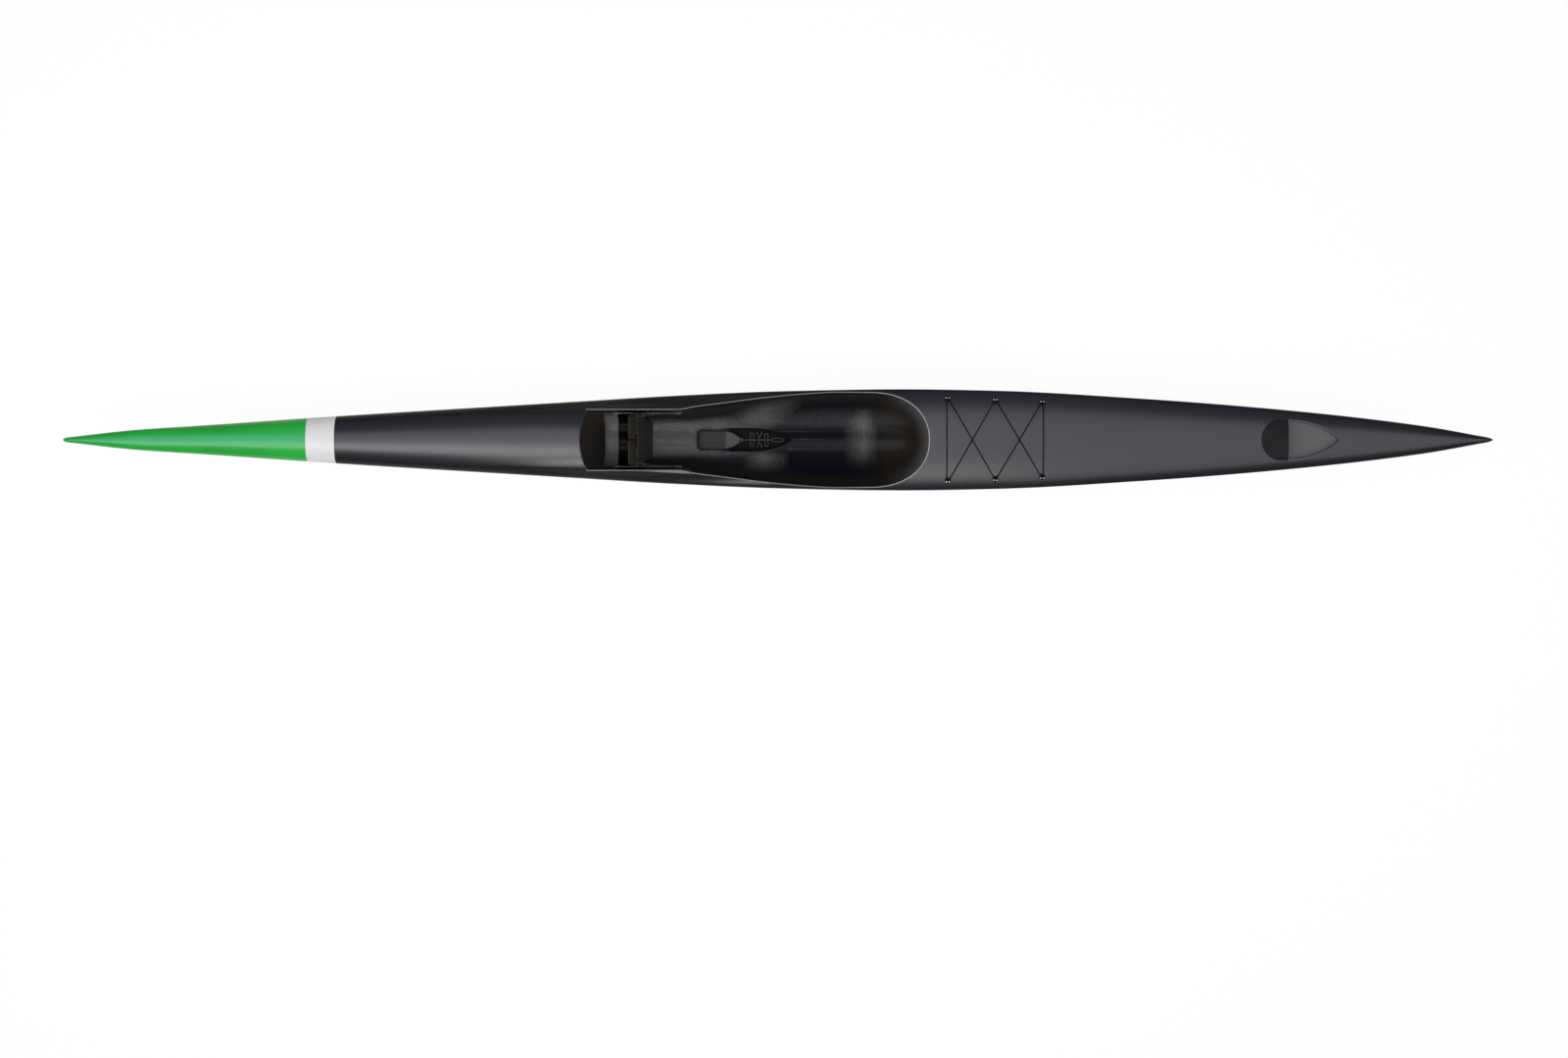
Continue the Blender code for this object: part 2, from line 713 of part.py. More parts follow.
def recess_outline():
    """Round front end, then a leaf that narrows to a point aft."""
    side = []
    for angle in np.linspace(0, math.pi / 2, 9):
        x = RECESS_FRONT + RECESS_SHOULDER * (1 - math.cos(angle))
        side.append((x, RECESS_HALF * math.sin(angle)))
    for t in np.linspace(0, 1, 10):
        x = HOOD_AFT + (RECESS_AFT - HOOD_AFT) * t
        side.append((x, RECESS_HALF * (1 - t**1.9) ** 0.95))
    return mirrored(side)


def well_outline():
    """Square front with round corners, and a pointed oval aft."""
    side = [(WELL_FRONT, 0)]
    for angle in np.linspace(0, math.pi / 2, 5):
        x = WELL_FRONT + WELL_NOSE * (1 - math.cos(angle))
        side.append((x, WELL_HALF - WELL_NOSE * (1 - math.sin(angle))))
    oval = WELL_FRONT + 0.55 * (WELL_AFT - WELL_FRONT)
    for t in np.linspace(0, 1, 9):
        side.append((oval + (WELL_AFT - oval) * t, WELL_HALF * (1 - t**2.1) ** 0.75))
    return mirrored(side)


def bailer_outline():
    """Box with an ogive tail."""
    side = [(BAILER_FRONT, 0), (BAILER_FRONT, BAILER_HALF)]
    for t in np.linspace(0, 1, 6):
        x = BAILER_SQUARE + (BAILER_AFT - BAILER_SQUARE) * t
        side.append((x, BAILER_TAIL_HALF + (BAILER_HALF - BAILER_TAIL_HALF) * (1 - t**1.8)))
    side.append((BAILER_AFT, 0))
    return mirrored(side)


def chute_outline():
    square = BAILER_SQUARE
    side = [(CHUTE_FRONT, 0), (CHUTE_FRONT, CHUTE_HALF), (square, CHUTE_HALF)]
    side += [(CHUTE_AFT, CHUTE_TAIL_HALF), (CHUTE_AFT, 0)]
    return mirrored(side)


def throat_outline():
    return offset(chute_outline(), THROAT_GAP)


def stern_recess():
    rim = lambda x, y: deck_z(x, y) + RIM_PROUD
    tray = cup("stern_recess", recess_outline(), rim, RECESS_FLOOR, RECESS_SKIN, RIM_DEPTH, RECESS_GREY)
    floor = RECESS_FLOOR
    hole = rod("bush_hole", (RUDDER_X, 0, floor - 0.01), (RUDDER_X, 0, floor + 0.01), TUBE_BORE, 20)
    carve(tray, hole)
    for sign in (-1, 1):
        name = "line_hole_port" if sign < 0 else "line_hole_starboard"
        start = (RECESS_FRONT - 0.02, sign * YOKE_ARM, yoke_z())
        end = (RECESS_FRONT + 0.04, sign * YOKE_ARM, yoke_z())
        carve(tray, rod(name, start, end, CONDUIT_BORE, 10))
    return tray


def hood():
    """A low dome over the front of the recess, open aft."""
    half = RECESS_HALF + RIM_WIDTH
    across = np.linspace(-1, 1, 15)
    along = np.linspace(0, 1, 8)
    top = []
    for v in across:
        y = half * v
        nose = RECESS_FRONT - RIM_WIDTH + RECESS_SHOULDER * (1 - math.sqrt(1 - 0.98 * v * v))
        line = []
        for u in along:
            x = nose + (HOOD_AFT - nose) * u
            edge = deck_z(x, y) + RIM_PROUD + SEAT_GAP + HOOD_SKIN
            line.append((x, y, edge + HOOD_RISE * u**0.8 * (1 - abs(v) ** 3)))
        top.append(line)
    points = [p for line in top for p in line]
    points += [(x, y, z - HOOD_SKIN) for x, y, z in points]
    rows, columns = len(top), len(top[0])
    below = rows * columns
    faces = []
    for i in range(rows - 1):
        for j in range(columns - 1):
            a = i * columns + j
            for face in ((a, a + 1, a + columns + 1), (a, a + columns + 1, a + columns)):
                faces.append(face)
                faces.append(tuple(below + k for k in reversed(face)))
    edge = border(rows, columns)
    for k in range(len(edge)):
        a = edge[k][0] * columns + edge[k][1]
        b = edge[(k + 1) % len(edge)][0] * columns + edge[(k + 1) % len(edge)][1]
        faces.append((a, b, below + b, below + a))
    return mesh_object("stern_hood", points, faces, CARBON)


def yoke_z():
    """Mid height of the tiller yoke, on the upper bush."""
    return RECESS_FLOOR + SEAT_GAP + BUSH_FLANGE + SEAT_GAP + YOKE_THICK / 2


def conduit_route():
    """Starboard side: from the cockpit wall, outside the seat, to the stern recess."""
    mouth_x = -0.440
    mouth_z = 0.205
    chosen = (
        (mouth_x, wall_y(mouth_x, mouth_z) - 5 * MM, mouth_z),
        (-0.360, 0.163, 0.187),
        (-0.200, 0.183, 0.150),
        (0.000, 0.178, 0.105),
        (0.250, 0.166, 0.080),
        (0.500, 0.160, 0.078),
        (1.000, 0.146, 0.100),
        (1.600, 0.100, 0.150),
        (RECESS_FRONT - 0.117, 0.048, yoke_z() - 4 * MM),
        (RECESS_FRONT - 9 * MM, YOKE_ARM, yoke_z()),
    )
    return smooth_route(chosen, 18)


def lean_point(y, up, out=0.0):
    """A point on the leaning footplate: up its slope from the hinge, and out towards the seat."""
    sine, cosine = math.sin(PLATE_LEAN), math.cos(PLATE_LEAN)
    return (HINGE_X - up * sine + out * cosine, y, HINGE_Z + up * cosine + out * sine)


def lean_slab(name, outline, back, front, look=None, origin=(0, 0, 0)):
    """An outline on the footplate's slope, as (across, up), with a thickness."""
    rings = [[lean_point(y, up, back) for y, up in outline], [lean_point(y, up, front) for y, up in outline]]
    return loft(name, rings, look, origin)


def rudder_lines():
    for sign, side in ((-1, "port"), (1, "starboard")):
        flip = lambda p: Vector((p[0], sign * p[1], p[2]))
        route = [flip(p) for p in conduit_route()]
        tube("line_conduit_" + side, route, CONDUIT_R, CONDUIT_BORE, 6, GREY_PLASTIC)
        knot = lean_point(PEDAL_HOLE_Y, PEDAL_HOLE_UP, -PEDAL_THICK / 2 - 6 * MM)
        hole = lean_point(PEDAL_HOLE_Y, PEDAL_HOLE_UP, PEDAL_THICK / 2 + 6 * MM)
        lead = [flip(knot)] + smooth_route([flip(hole), flip((-0.560, 0.116, 0.236)), route[0]], 7)[:-1]
        end = Vector((RUDDER_X - YOKE_END_R - 1 * MM, sign * YOKE_ARM, yoke_z()))
        cord("rudder_line_" + side, lead + route + [end], LINE_R, LINE_GREY)


def foot_rails():
    """Toothed bars along the footwell, bracketed off its walls."""
    low = RAIL_Z - RAIL_HEIGHT / 2
    for sign, side in ((-1, "port"), (1, "starboard")):
        inner = rail_inner()
        outer = inner + RAIL_THICK
        teeth = []
        first = PLUNGER_X - NOTCH_PITCH * math.floor((PLUNGER_X - RAIL_FRONT - 0.035) / NOTCH_PITCH)
        x = first
        while x < RAIL_AFT - 0.035:
            teeth += [(x - NOTCH_WIDTH / 2, inner), (x - NOTCH_WIDTH / 2, inner + NOTCH_DEPTH)]
            teeth += [(x + NOTCH_WIDTH / 2, inner + NOTCH_DEPTH), (x + NOTCH_WIDTH / 2, inner)]
            x += NOTCH_PITCH
        wall_aft = min(wall_y(RAIL_AFT - RAIL_FOOT, low), wall_y(RAIL_AFT, low)) - SEAT_GAP
        wall_front = min(wall_y(RAIL_FRONT + RAIL_FOOT, low), wall_y(RAIL_FRONT, low)) - SEAT_GAP
        back = [(RAIL_AFT, wall_aft), (RAIL_AFT - RAIL_FOOT, wall_aft), (RAIL_AFT - RAIL_FOOT, outer)]
        back += [(RAIL_FRONT + RAIL_FOOT, outer), (RAIL_FRONT + RAIL_FOOT, wall_front), (RAIL_FRONT, wall_front)]
        outline = [(RAIL_FRONT, inner)] + teeth + [(RAIL_AFT, inner)] + back
        outline = [(px, sign * py) for px, py in outline]
        rail = prism("foot_rail_" + side, outline, low, low + RAIL_HEIGHT, RAIL_METAL)
        for end, place in (("fore", RAIL_FRONT + RAIL_FOOT / 2), ("aft", RAIL_AFT - RAIL_FOOT / 2)):
            head = RAIL_SCREW_HEAD
            start = Vector((place, sign * (inner - head - SEAT_GAP), RAIL_Z))
            steps = (
                (0, RAIL_SCREW_HEAD_R - 0.6 * MM), (head, RAIL_SCREW_HEAD_R), (head, RAIL_SCREW_R),
                (head + SEAT_GAP + RAIL_SCREW_LENGTH, RAIL_SCREW_R),
            )
            turned(f"rail_screw_{end}_{side}", start, (0, sign, 0), steps, 12, STEEL)
            bottom = start + Vector((0, sign * (head + 2 * SEAT_GAP + RAIL_SCREW_LENGTH), 0))
            hole = rod(f"rail_hole_{end}_{side}", start, bottom, RAIL_SCREW_R + SEAT_GAP, 12)
            carve(rail, hole)


def rail_inner():
    """Half distance between the rails' toothed faces."""
    low = RAIL_Z - RAIL_HEIGHT / 2
    return min(wall_y(RAIL_FRONT, low), wall_y(RAIL_AFT, low)) - RAIL_OFF - RAIL_THICK


def knuckle(name, near, far):
    """A barrel on the hinge line."""
    return rod(name, (HINGE_X, near, HINGE_Z), (HINGE_X, far, HINGE_Z), KNUCKLE_R, 16)


def footplate():
    """Leaning plate with a hinge knuckle near each end of both pins and a tab to each clamp."""
    origin = (HINGE_X, 0, HINGE_Z)
    tab_up = (RAIL_Z - HINGE_Z) / math.cos(PLATE_LEAN)
    tab_out = rail_inner() - CLAMP_WALL - 4 * SEAT_GAP
    above_clamp = RAIL_Z + RAIL_HEIGHT / 2 + RUN_GAP + CLAMP_WALL + 3 * MM
    shoulder = (above_clamp - HINGE_Z) / math.cos(PLATE_LEAN)
    side = [
        (PLATE_TOP_HALF, -HINGE_CLEAR),
        (PLATE_TOP_HALF, shoulder),
        (tab_out, shoulder),
        (tab_out, tab_up - 0.011),
        (PLATE_BOTTOM_HALF + 0.012, tab_up - 0.020),
        (PLATE_BOTTOM_HALF, -PLATE_DROP),
    ]
    outline = side + [(-y, up) for y, up in reversed(side)]
    plate = lean_slab("footplate", outline, -PLATE_THICK / 2, PLATE_THICK / 2, BLACK_PLASTIC, origin)
    for sign, place in ((-1, "port"), (1, "starboard")):
        for end in (-1, 1):
            mid = sign * (PIN_MID + end * (PIN_LENGTH - KNUCKLE_LENGTH) / 2)
            near, far = mid - KNUCKLE_LENGTH / 2, mid + KNUCKLE_LENGTH / 2
            tag = f"{place}_{'outer' if end > 0 else 'inner'}"
            carve(plate, knuckle("plate_knuckle_" + tag, near, far), "UNION")
            web = [(near, -HINGE_CLEAR - 2 * MM), (far, -HINGE_CLEAR - 2 * MM), (far, 0), (near, 0)]
            carve(plate, lean_slab("plate_web_" + tag, web, -3 * MM, 3 * MM), "UNION")
    for sign, place in ((-1, "port"), (1, "starboard")):
        near = sign * (PIN_MID - PIN_LENGTH / 2 - 0.01)
        far = sign * (PIN_MID + PIN_LENGTH / 2 + 0.01)
        bore = rod("plate_bore_" + place, (HINGE_X, near, HINGE_Z), (HINGE_X, far, HINGE_Z), PIN_R + RUN_GAP, 12)
        carve(plate, bore)
    return plate


def pedals():
    for sign, side in ((-1, "port"), (1, "starboard")):
        origin = (HINGE_X, sign * PIN_MID, HINGE_Z)
        outline = [
            (PEDAL_INNER, HINGE_CLEAR),
            (PEDAL_OUTER, HINGE_CLEAR),
            (PEDAL_OUTER, PEDAL_HEIGHT - 0.010),
            (PEDAL_OUTER - 0.010, PEDAL_HEIGHT),
            (PEDAL_INNER + 0.006, PEDAL_HEIGHT),
            (PEDAL_INNER, PEDAL_HEIGHT - 0.006),
        ]
        outline = [(sign * y, up) for y, up in outline]
        pedal = lean_slab("pedal_" + side, outline, -PEDAL_THICK / 2, PEDAL_THICK / 2, BLACK_PLASTIC, origin)
        half = PIN_LENGTH / 2 - KNUCKLE_LENGTH - 2 * SEAT_GAP
        near, far = sign * PIN_MID - half, sign * PIN_MID + half
        carve(pedal, knuckle("pedal_knuckle_" + side, near, far), "UNION")
        web = [(near, 0), (far, 0), (far, HINGE_CLEAR + 2 * MM), (near, HINGE_CLEAR + 2 * MM)]
        carve(pedal, lean_slab("pedal_web_" + side, web, -2.5 * MM, 2.5 * MM), "UNION")
        start = (HINGE_X, near - 5 * MM, HINGE_Z)
        end = (HINGE_X, far + 5 * MM, HINGE_Z)
        carve(pedal, rod("pedal_bore_" + side, start, end, PIN_R + RUN_GAP, 12))
        hole_start = lean_point(sign * PEDAL_HOLE_Y, PEDAL_HOLE_UP, -0.01)
        hole_end = lean_point(sign * PEDAL_HOLE_Y, PEDAL_HOLE_UP, 0.01)
        carve(pedal, rod("pedal_hole_" + side, hole_start, hole_end, LINE_R + 0.8 * MM, 10))
        reach = PIN_LENGTH / 2 + 1 * MM
        start = (HINGE_X, sign * PIN_MID - reach, HINGE_Z)
        steps = ((0, 3.9 * MM), (0.8 * MM, 3.9 * MM), (0.8 * MM, PIN_R), (2 * reach, PIN_R))
        turned("hinge_pin_" + side, start, (0, 1, 0), steps, 12, STEEL)


def rail_clamps():
    """Saddles that hook round the rails, each with a spring plunger through it."""
    gap = RUN_GAP
    for sign, side in ((-1, "port"), (1, "starboard")):
        inner = rail_inner()
        low = RAIL_Z - RAIL_HEIGHT / 2
        high = RAIL_Z + RAIL_HEIGHT / 2
        hook = RAIL_THICK - 1.2 * MM
        section = [
            (inner + hook, low - gap), (inner - gap, low - gap), (inner - gap, high + gap),
            (inner + hook, high + gap), (inner + hook, high + gap + CLAMP_WALL),
            (inner - gap - CLAMP_WALL, high + gap + CLAMP_WALL),
            (inner - gap - CLAMP_WALL, low - gap - CLAMP_WALL), (inner + hook, low - gap - CLAMP_WALL),
        ]
        rings = [[(x, sign * y, z) for y, z in section] for x in (CLAMP_FRONT, CLAMP_AFT)]
        clamp = loft("rail_clamp_" + side, rings, BLACK_PLASTIC)
        start = Vector((PLUNGER_X, sign * (inner - 0.02), RAIL_Z))
        end = Vector((PLUNGER_X, sign * (inner + 0.001), RAIL_Z))
        carve(clamp, rod("plunger_hole_" + side, start, end, PLUNGER_R + RUN_GAP, 14))
        face = inner - gap - CLAMP_WALL - SEAT_GAP
        tip = inner - RUN_GAP
        steps = (
            (0, PLUNGER_KNOB_R - 1 * MM), (1 * MM, PLUNGER_KNOB_R), (PLUNGER_KNOB - 1 * MM, PLUNGER_KNOB_R),
            (PLUNGER_KNOB, PLUNGER_KNOB_R - 1 * MM), (PLUNGER_KNOB, PLUNGER_R),
            (PLUNGER_KNOB + tip - face - 0.5 * MM, PLUNGER_R), (PLUNGER_KNOB + tip - face, PLUNGER_R - 0.5 * MM),
        )
        start = (PLUNGER_X, sign * (face - PLUNGER_KNOB), RAIL_Z)
        turned("lock_plunger_" + side, start, (0, sign, 0), steps, 14, STEEL, origin=(PLUNGER_X, sign * face, RAIL_Z))


def blade():
    """Swept elliptical foil; every section is a symmetric four-digit profile."""
    root = blade_root()
    origin = (RUDDER_X, 0, root)
    rings = []
    for t in np.linspace(0, 1, 10):
        depth = BLADE_DEPTH * math.sin(t * math.pi / 2)
        chord = BLADE_CHORD * math.sqrt(max(1 - (depth / BLADE_DEPTH) ** 2.2, 0.004))
        front = RUDDER_X - BLADE_AHEAD + 0.40 * depth + 1.8 * depth**2
        ring = []
        for angle in np.linspace(0, 2 * math.pi, 18, endpoint=False):
            c = (1 + math.cos(angle)) / 2
            thick = 0.2969 * math.sqrt(c) - 0.126 * c - 0.3516 * c**2 + 0.2843 * c**3 - 0.1015 * c**4
            y = 5 * BLADE_THICK * chord * (thick + 0.01)
            ring.append((front + chord * c, math.copysign(y, math.sin(angle) + 1e-9), root - depth))
        rings.append(ring)
    piece = loft("rudder_blade", rings, CARBON, origin)
    socket_low = root - STOCK_IN_BLADE - SEAT_GAP
    socket = rod("stock_socket", (RUDDER_X, 0, socket_low), (RUDDER_X, 0, root + 0.02), STOCK_R + SEAT_GAP, 16)
    return carve(piece, socket)


def blade_root():
    return keel_z(RUDDER_X - BLADE_AHEAD) - BLADE_GAP


def rudder_gear():
    root = blade_root()
    top = yoke_z() + YOKE_THICK / 2 - SEAT_GAP
    origin = (RUDDER_X, 0, root)
    stock = rod("rudder_stock", (RUDDER_X, 0, root - STOCK_IN_BLADE), (RUDDER_X, 0, top), STOCK_R, 16, STEEL, origin)
    thread = 2.5 * MM
    hole = rod("thread_hole", (RUDDER_X, 0, top - 0.012), (RUDDER_X, 0, top + 0.01), thread + SEAT_GAP, 12)
    carve(stock, hole)
    head_low = yoke_z() + YOKE_THICK / 2 + SEAT_GAP
    steps = (
        (0, thread), (0.0105 + 2 * SEAT_GAP, thread), (0.0105 + 2 * SEAT_GAP, YOKE_SCREW_R),
        (0.0105 + 2 * SEAT_GAP + YOKE_SCREW_HEAD, YOKE_SCREW_R - 0.8 * MM),
    )
    start = (RUDDER_X, 0, head_low - 0.0105 - 2 * SEAT_GAP)
    turned("yoke_screw", start, (0, 0, 1), steps, 16, STEEL, origin)
    boss = [(RUDDER_X + YOKE_BOSS_R * math.cos(a), YOKE_BOSS_R * math.sin(a))
            for a in np.linspace(-math.pi * 0.22, math.pi * 0.22, 5)]
    end = [(RUDDER_X + YOKE_END_R * math.cos(a), YOKE_ARM + YOKE_END_R * math.sin(a))
           for a in np.linspace(0, math.pi, 7)]
    start_half = boss[2:] + end
    front = [(RUDDER_X - YOKE_BOSS_R * math.cos(a), YOKE_BOSS_R * math.sin(a))
             for a in np.linspace(math.pi * 0.22, 0, 3)]
    half = start_half + front
    outline = half + [(x, -y) for x, y in reversed(half[1:-1])]
    low = yoke_z() - YOKE_THICK / 2
    yoke = prism("tiller_yoke", outline, low, low + YOKE_THICK, BLACK_PLASTIC, origin)
    bore = rod("yoke_bore", (RUDDER_X, 0, low - 0.01), (RUDDER_X, 0, low + 0.02), STOCK_R + SEAT_GAP, 16)
    carve(yoke, bore)

    under = keel_z(RUDDER_X) + 1 * MM
    tray = RECESS_FLOOR - RECESS_SKIN - SEAT_GAP
    straight = [(RUDDER_X, 0, under), (RUDDER_X, 0, tray)]
    tube("rudder_tube", straight, TUBE_R, TUBE_BORE + SEAT_GAP, 20, GREY_PLASTIC)
    lower = [(RUDDER_X, 0, under), (RUDDER_X, 0, under + BUSH_LENGTH)]
    tube("lower_bush", lower, TUBE_BORE - SEAT_GAP, STOCK_R + RUN_GAP, 20, BLACK_PLASTIC)
    flange_low = RECESS_FLOOR + SEAT_GAP
    steps = (
        (0, TUBE_BORE - SEAT_GAP), (BUSH_LENGTH, TUBE_BORE - SEAT_GAP),
        (BUSH_LENGTH, BUSH_FLANGE_R), (BUSH_LENGTH + BUSH_FLANGE, BUSH_FLANGE_R),
    )
    upper = turned("upper_bush", (RUDDER_X, 0, flange_low - BUSH_LENGTH), (0, 0, 1), steps, 20, BLACK_PLASTIC)
    start = (RUDDER_X, 0, flange_low - BUSH_LENGTH - 0.01)
    carve(upper, rod("upper_bore", start, (RUDDER_X, 0, flange_low + 0.01), STOCK_R + RUN_GAP, 16))


def eye_places():
    """Names and places of the six deck eyes, fore to aft on each side."""
    places = []
    for number, (x, y) in enumerate(EYES, 1):
        places.append((f"port_{number}", x, -y))
        places.append((f"starboard_{number}", x, y))
    return places


def on_deck(x, y, height):
    """A point at a height above the deck, square to it."""
    return Vector((x, y, deck_z(x, y) + SEAT_GAP)) + deck_normal(x, y) * height


def arch_top():
    return EYE_BASE + 2 * CORD_R + 2 * ARCH_GAP


def deck_eyes():
    """Discs with an arch for the cord and two screws."""
    for tag, x, y in eye_places():
        foot = on_deck(x, y, SEAT_GAP)
        normal = deck_normal(x, y)
        side = Vector((0, 1, 0))
        side = (side - normal * side.dot(normal)).normalized()
        ahead = side.cross(normal)

        def at(a, b, c):
            return foot + ahead * a + side * b + normal * c

        steps = ((0, EYE_R), (EYE_BASE - 1.2 * MM, EYE_R), (EYE_BASE, EYE_R - 1.2 * MM))
        eye = turned("deck_eye_" + tag, foot, normal, steps, 16, BLACK_PLASTIC)
        inner, outer = ARCH_HALF, ARCH_HALF + ARCH_BAR
        top = arch_top()
        profile = [(inner, EYE_BASE - 1 * MM), (inner, top - 1.5 * MM), (inner - 1.5 * MM, top)]
        profile += [(-b, c) for b, c in reversed(profile)]
        around = [(outer, EYE_BASE - 1 * MM), (outer, top), (outer - 2.6 * MM, top + ARCH_BAR)]
        around += [(-b, c) for b, c in reversed(around)]
        section = profile + around[::-1]
        rings = [[at(a, b, c) for b, c in section] for a in (-ARCH_LENGTH / 2, ARCH_LENGTH / 2)]
        carve(eye, loft("arch_" + tag, rings, None), "UNION")
        for end, name in ((-1, "fore"), (1, "aft")):
            centre = at(end * EYE_SCREW_ALONG, math.copysign(EYE_SCREW_OUT, y), EYE_BASE)
            hole_low = centre - normal * 0.008
            carve(eye, rod(f"eye_hole_{tag}_{name}", hole_low, centre + normal * 0.004, 1.3 * MM, 6))
            start = centre - normal * 2.4 * MM
            steps = (
                (0, 0.9 * MM), (2.4 * MM + SEAT_GAP, 0.9 * MM), (2.4 * MM + SEAT_GAP, EYE_SCREW_R),
                (3.9 * MM, EYE_SCREW_R * 0.7),
            )
            turned(f"eye_screw_{tag}_{name}", start, normal, steps, 6, STEEL)


def bungee():
    """One closed loop laced through the eyes, pulled over the crowned deck."""
    order = ((0, -1), (1, 1), (2, -1), (2, 1), (1, -1), (0, 1))
    eyes = [Vector((EYES[i][0], sign * EYES[i][1])) for i, sign in order]
    under_arch = EYE_BASE + CORD_R + ARCH_GAP
    low = CORD_R + CORD_GAP
    plan = []
    for k, eye in enumerate(eyes):
        before = (eyes[k - 1] - eye).normalized()
        after = (eyes[(k + 1) % 6] - eye).normalized()
        inward = (before + after).normalized()
        half = math.acos(max(min(before.dot(after), 1), -1)) / 2
        centre = eye + inward * CORD_BEND
        sweep = math.pi / 2 - half
        turn = math.copysign(1, before.x * after.y - before.y * after.x)
        for step in np.linspace(-1, 1, 5):
            angle = -turn * step * sweep
            spoke = Vector((-inward.x, -inward.y))
            c, s = math.cos(angle), math.sin(angle)
            spoke = Vector((spoke.x * c - spoke.y * s, spoke.x * s + spoke.y * c))
            plan.append(centre + spoke * CORD_BEND)
    route = []
    for k in range(6):
        corner = plan[5 * k:5 * k + 5]
        following = plan[(5 * k + 5) % 30]
        leg = following - corner[-1]
        count = max(int(leg.length / 0.060), 2)
        between = [corner[-1] + leg * (i / count) for i in range(1, count)]
        ramp = [corner[-1] + leg.normalized() * d for d in (0.008, 0.018)]
        ramp_out = [following - leg.normalized() * d for d in (0.018, 0.008)]
        between = [p for p in between if 0.025 < (p - corner[-1]).length < leg.length - 0.025]
        for p in corner + ramp + between + ramp_out:
            near = min((p - eye).length for eye in eyes)
            t = min(max((near - EYE_R - 1 * MM) / 0.010, 0), 1)
            height = under_arch + (low - under_arch) * t * t * (3 - 2 * t)
            over = k in (0, 1)
            if over and abs(p.y) < 0.045:
                height += (2 * CORD_R + CORD_GAP) * math.cos(p.y / 0.045 * math.pi / 2) ** 2
            route.append(on_deck(p.x, p.y, height))
    cord("deck_bungee", route, CORD_R, CORD_BLACK, closed=True)


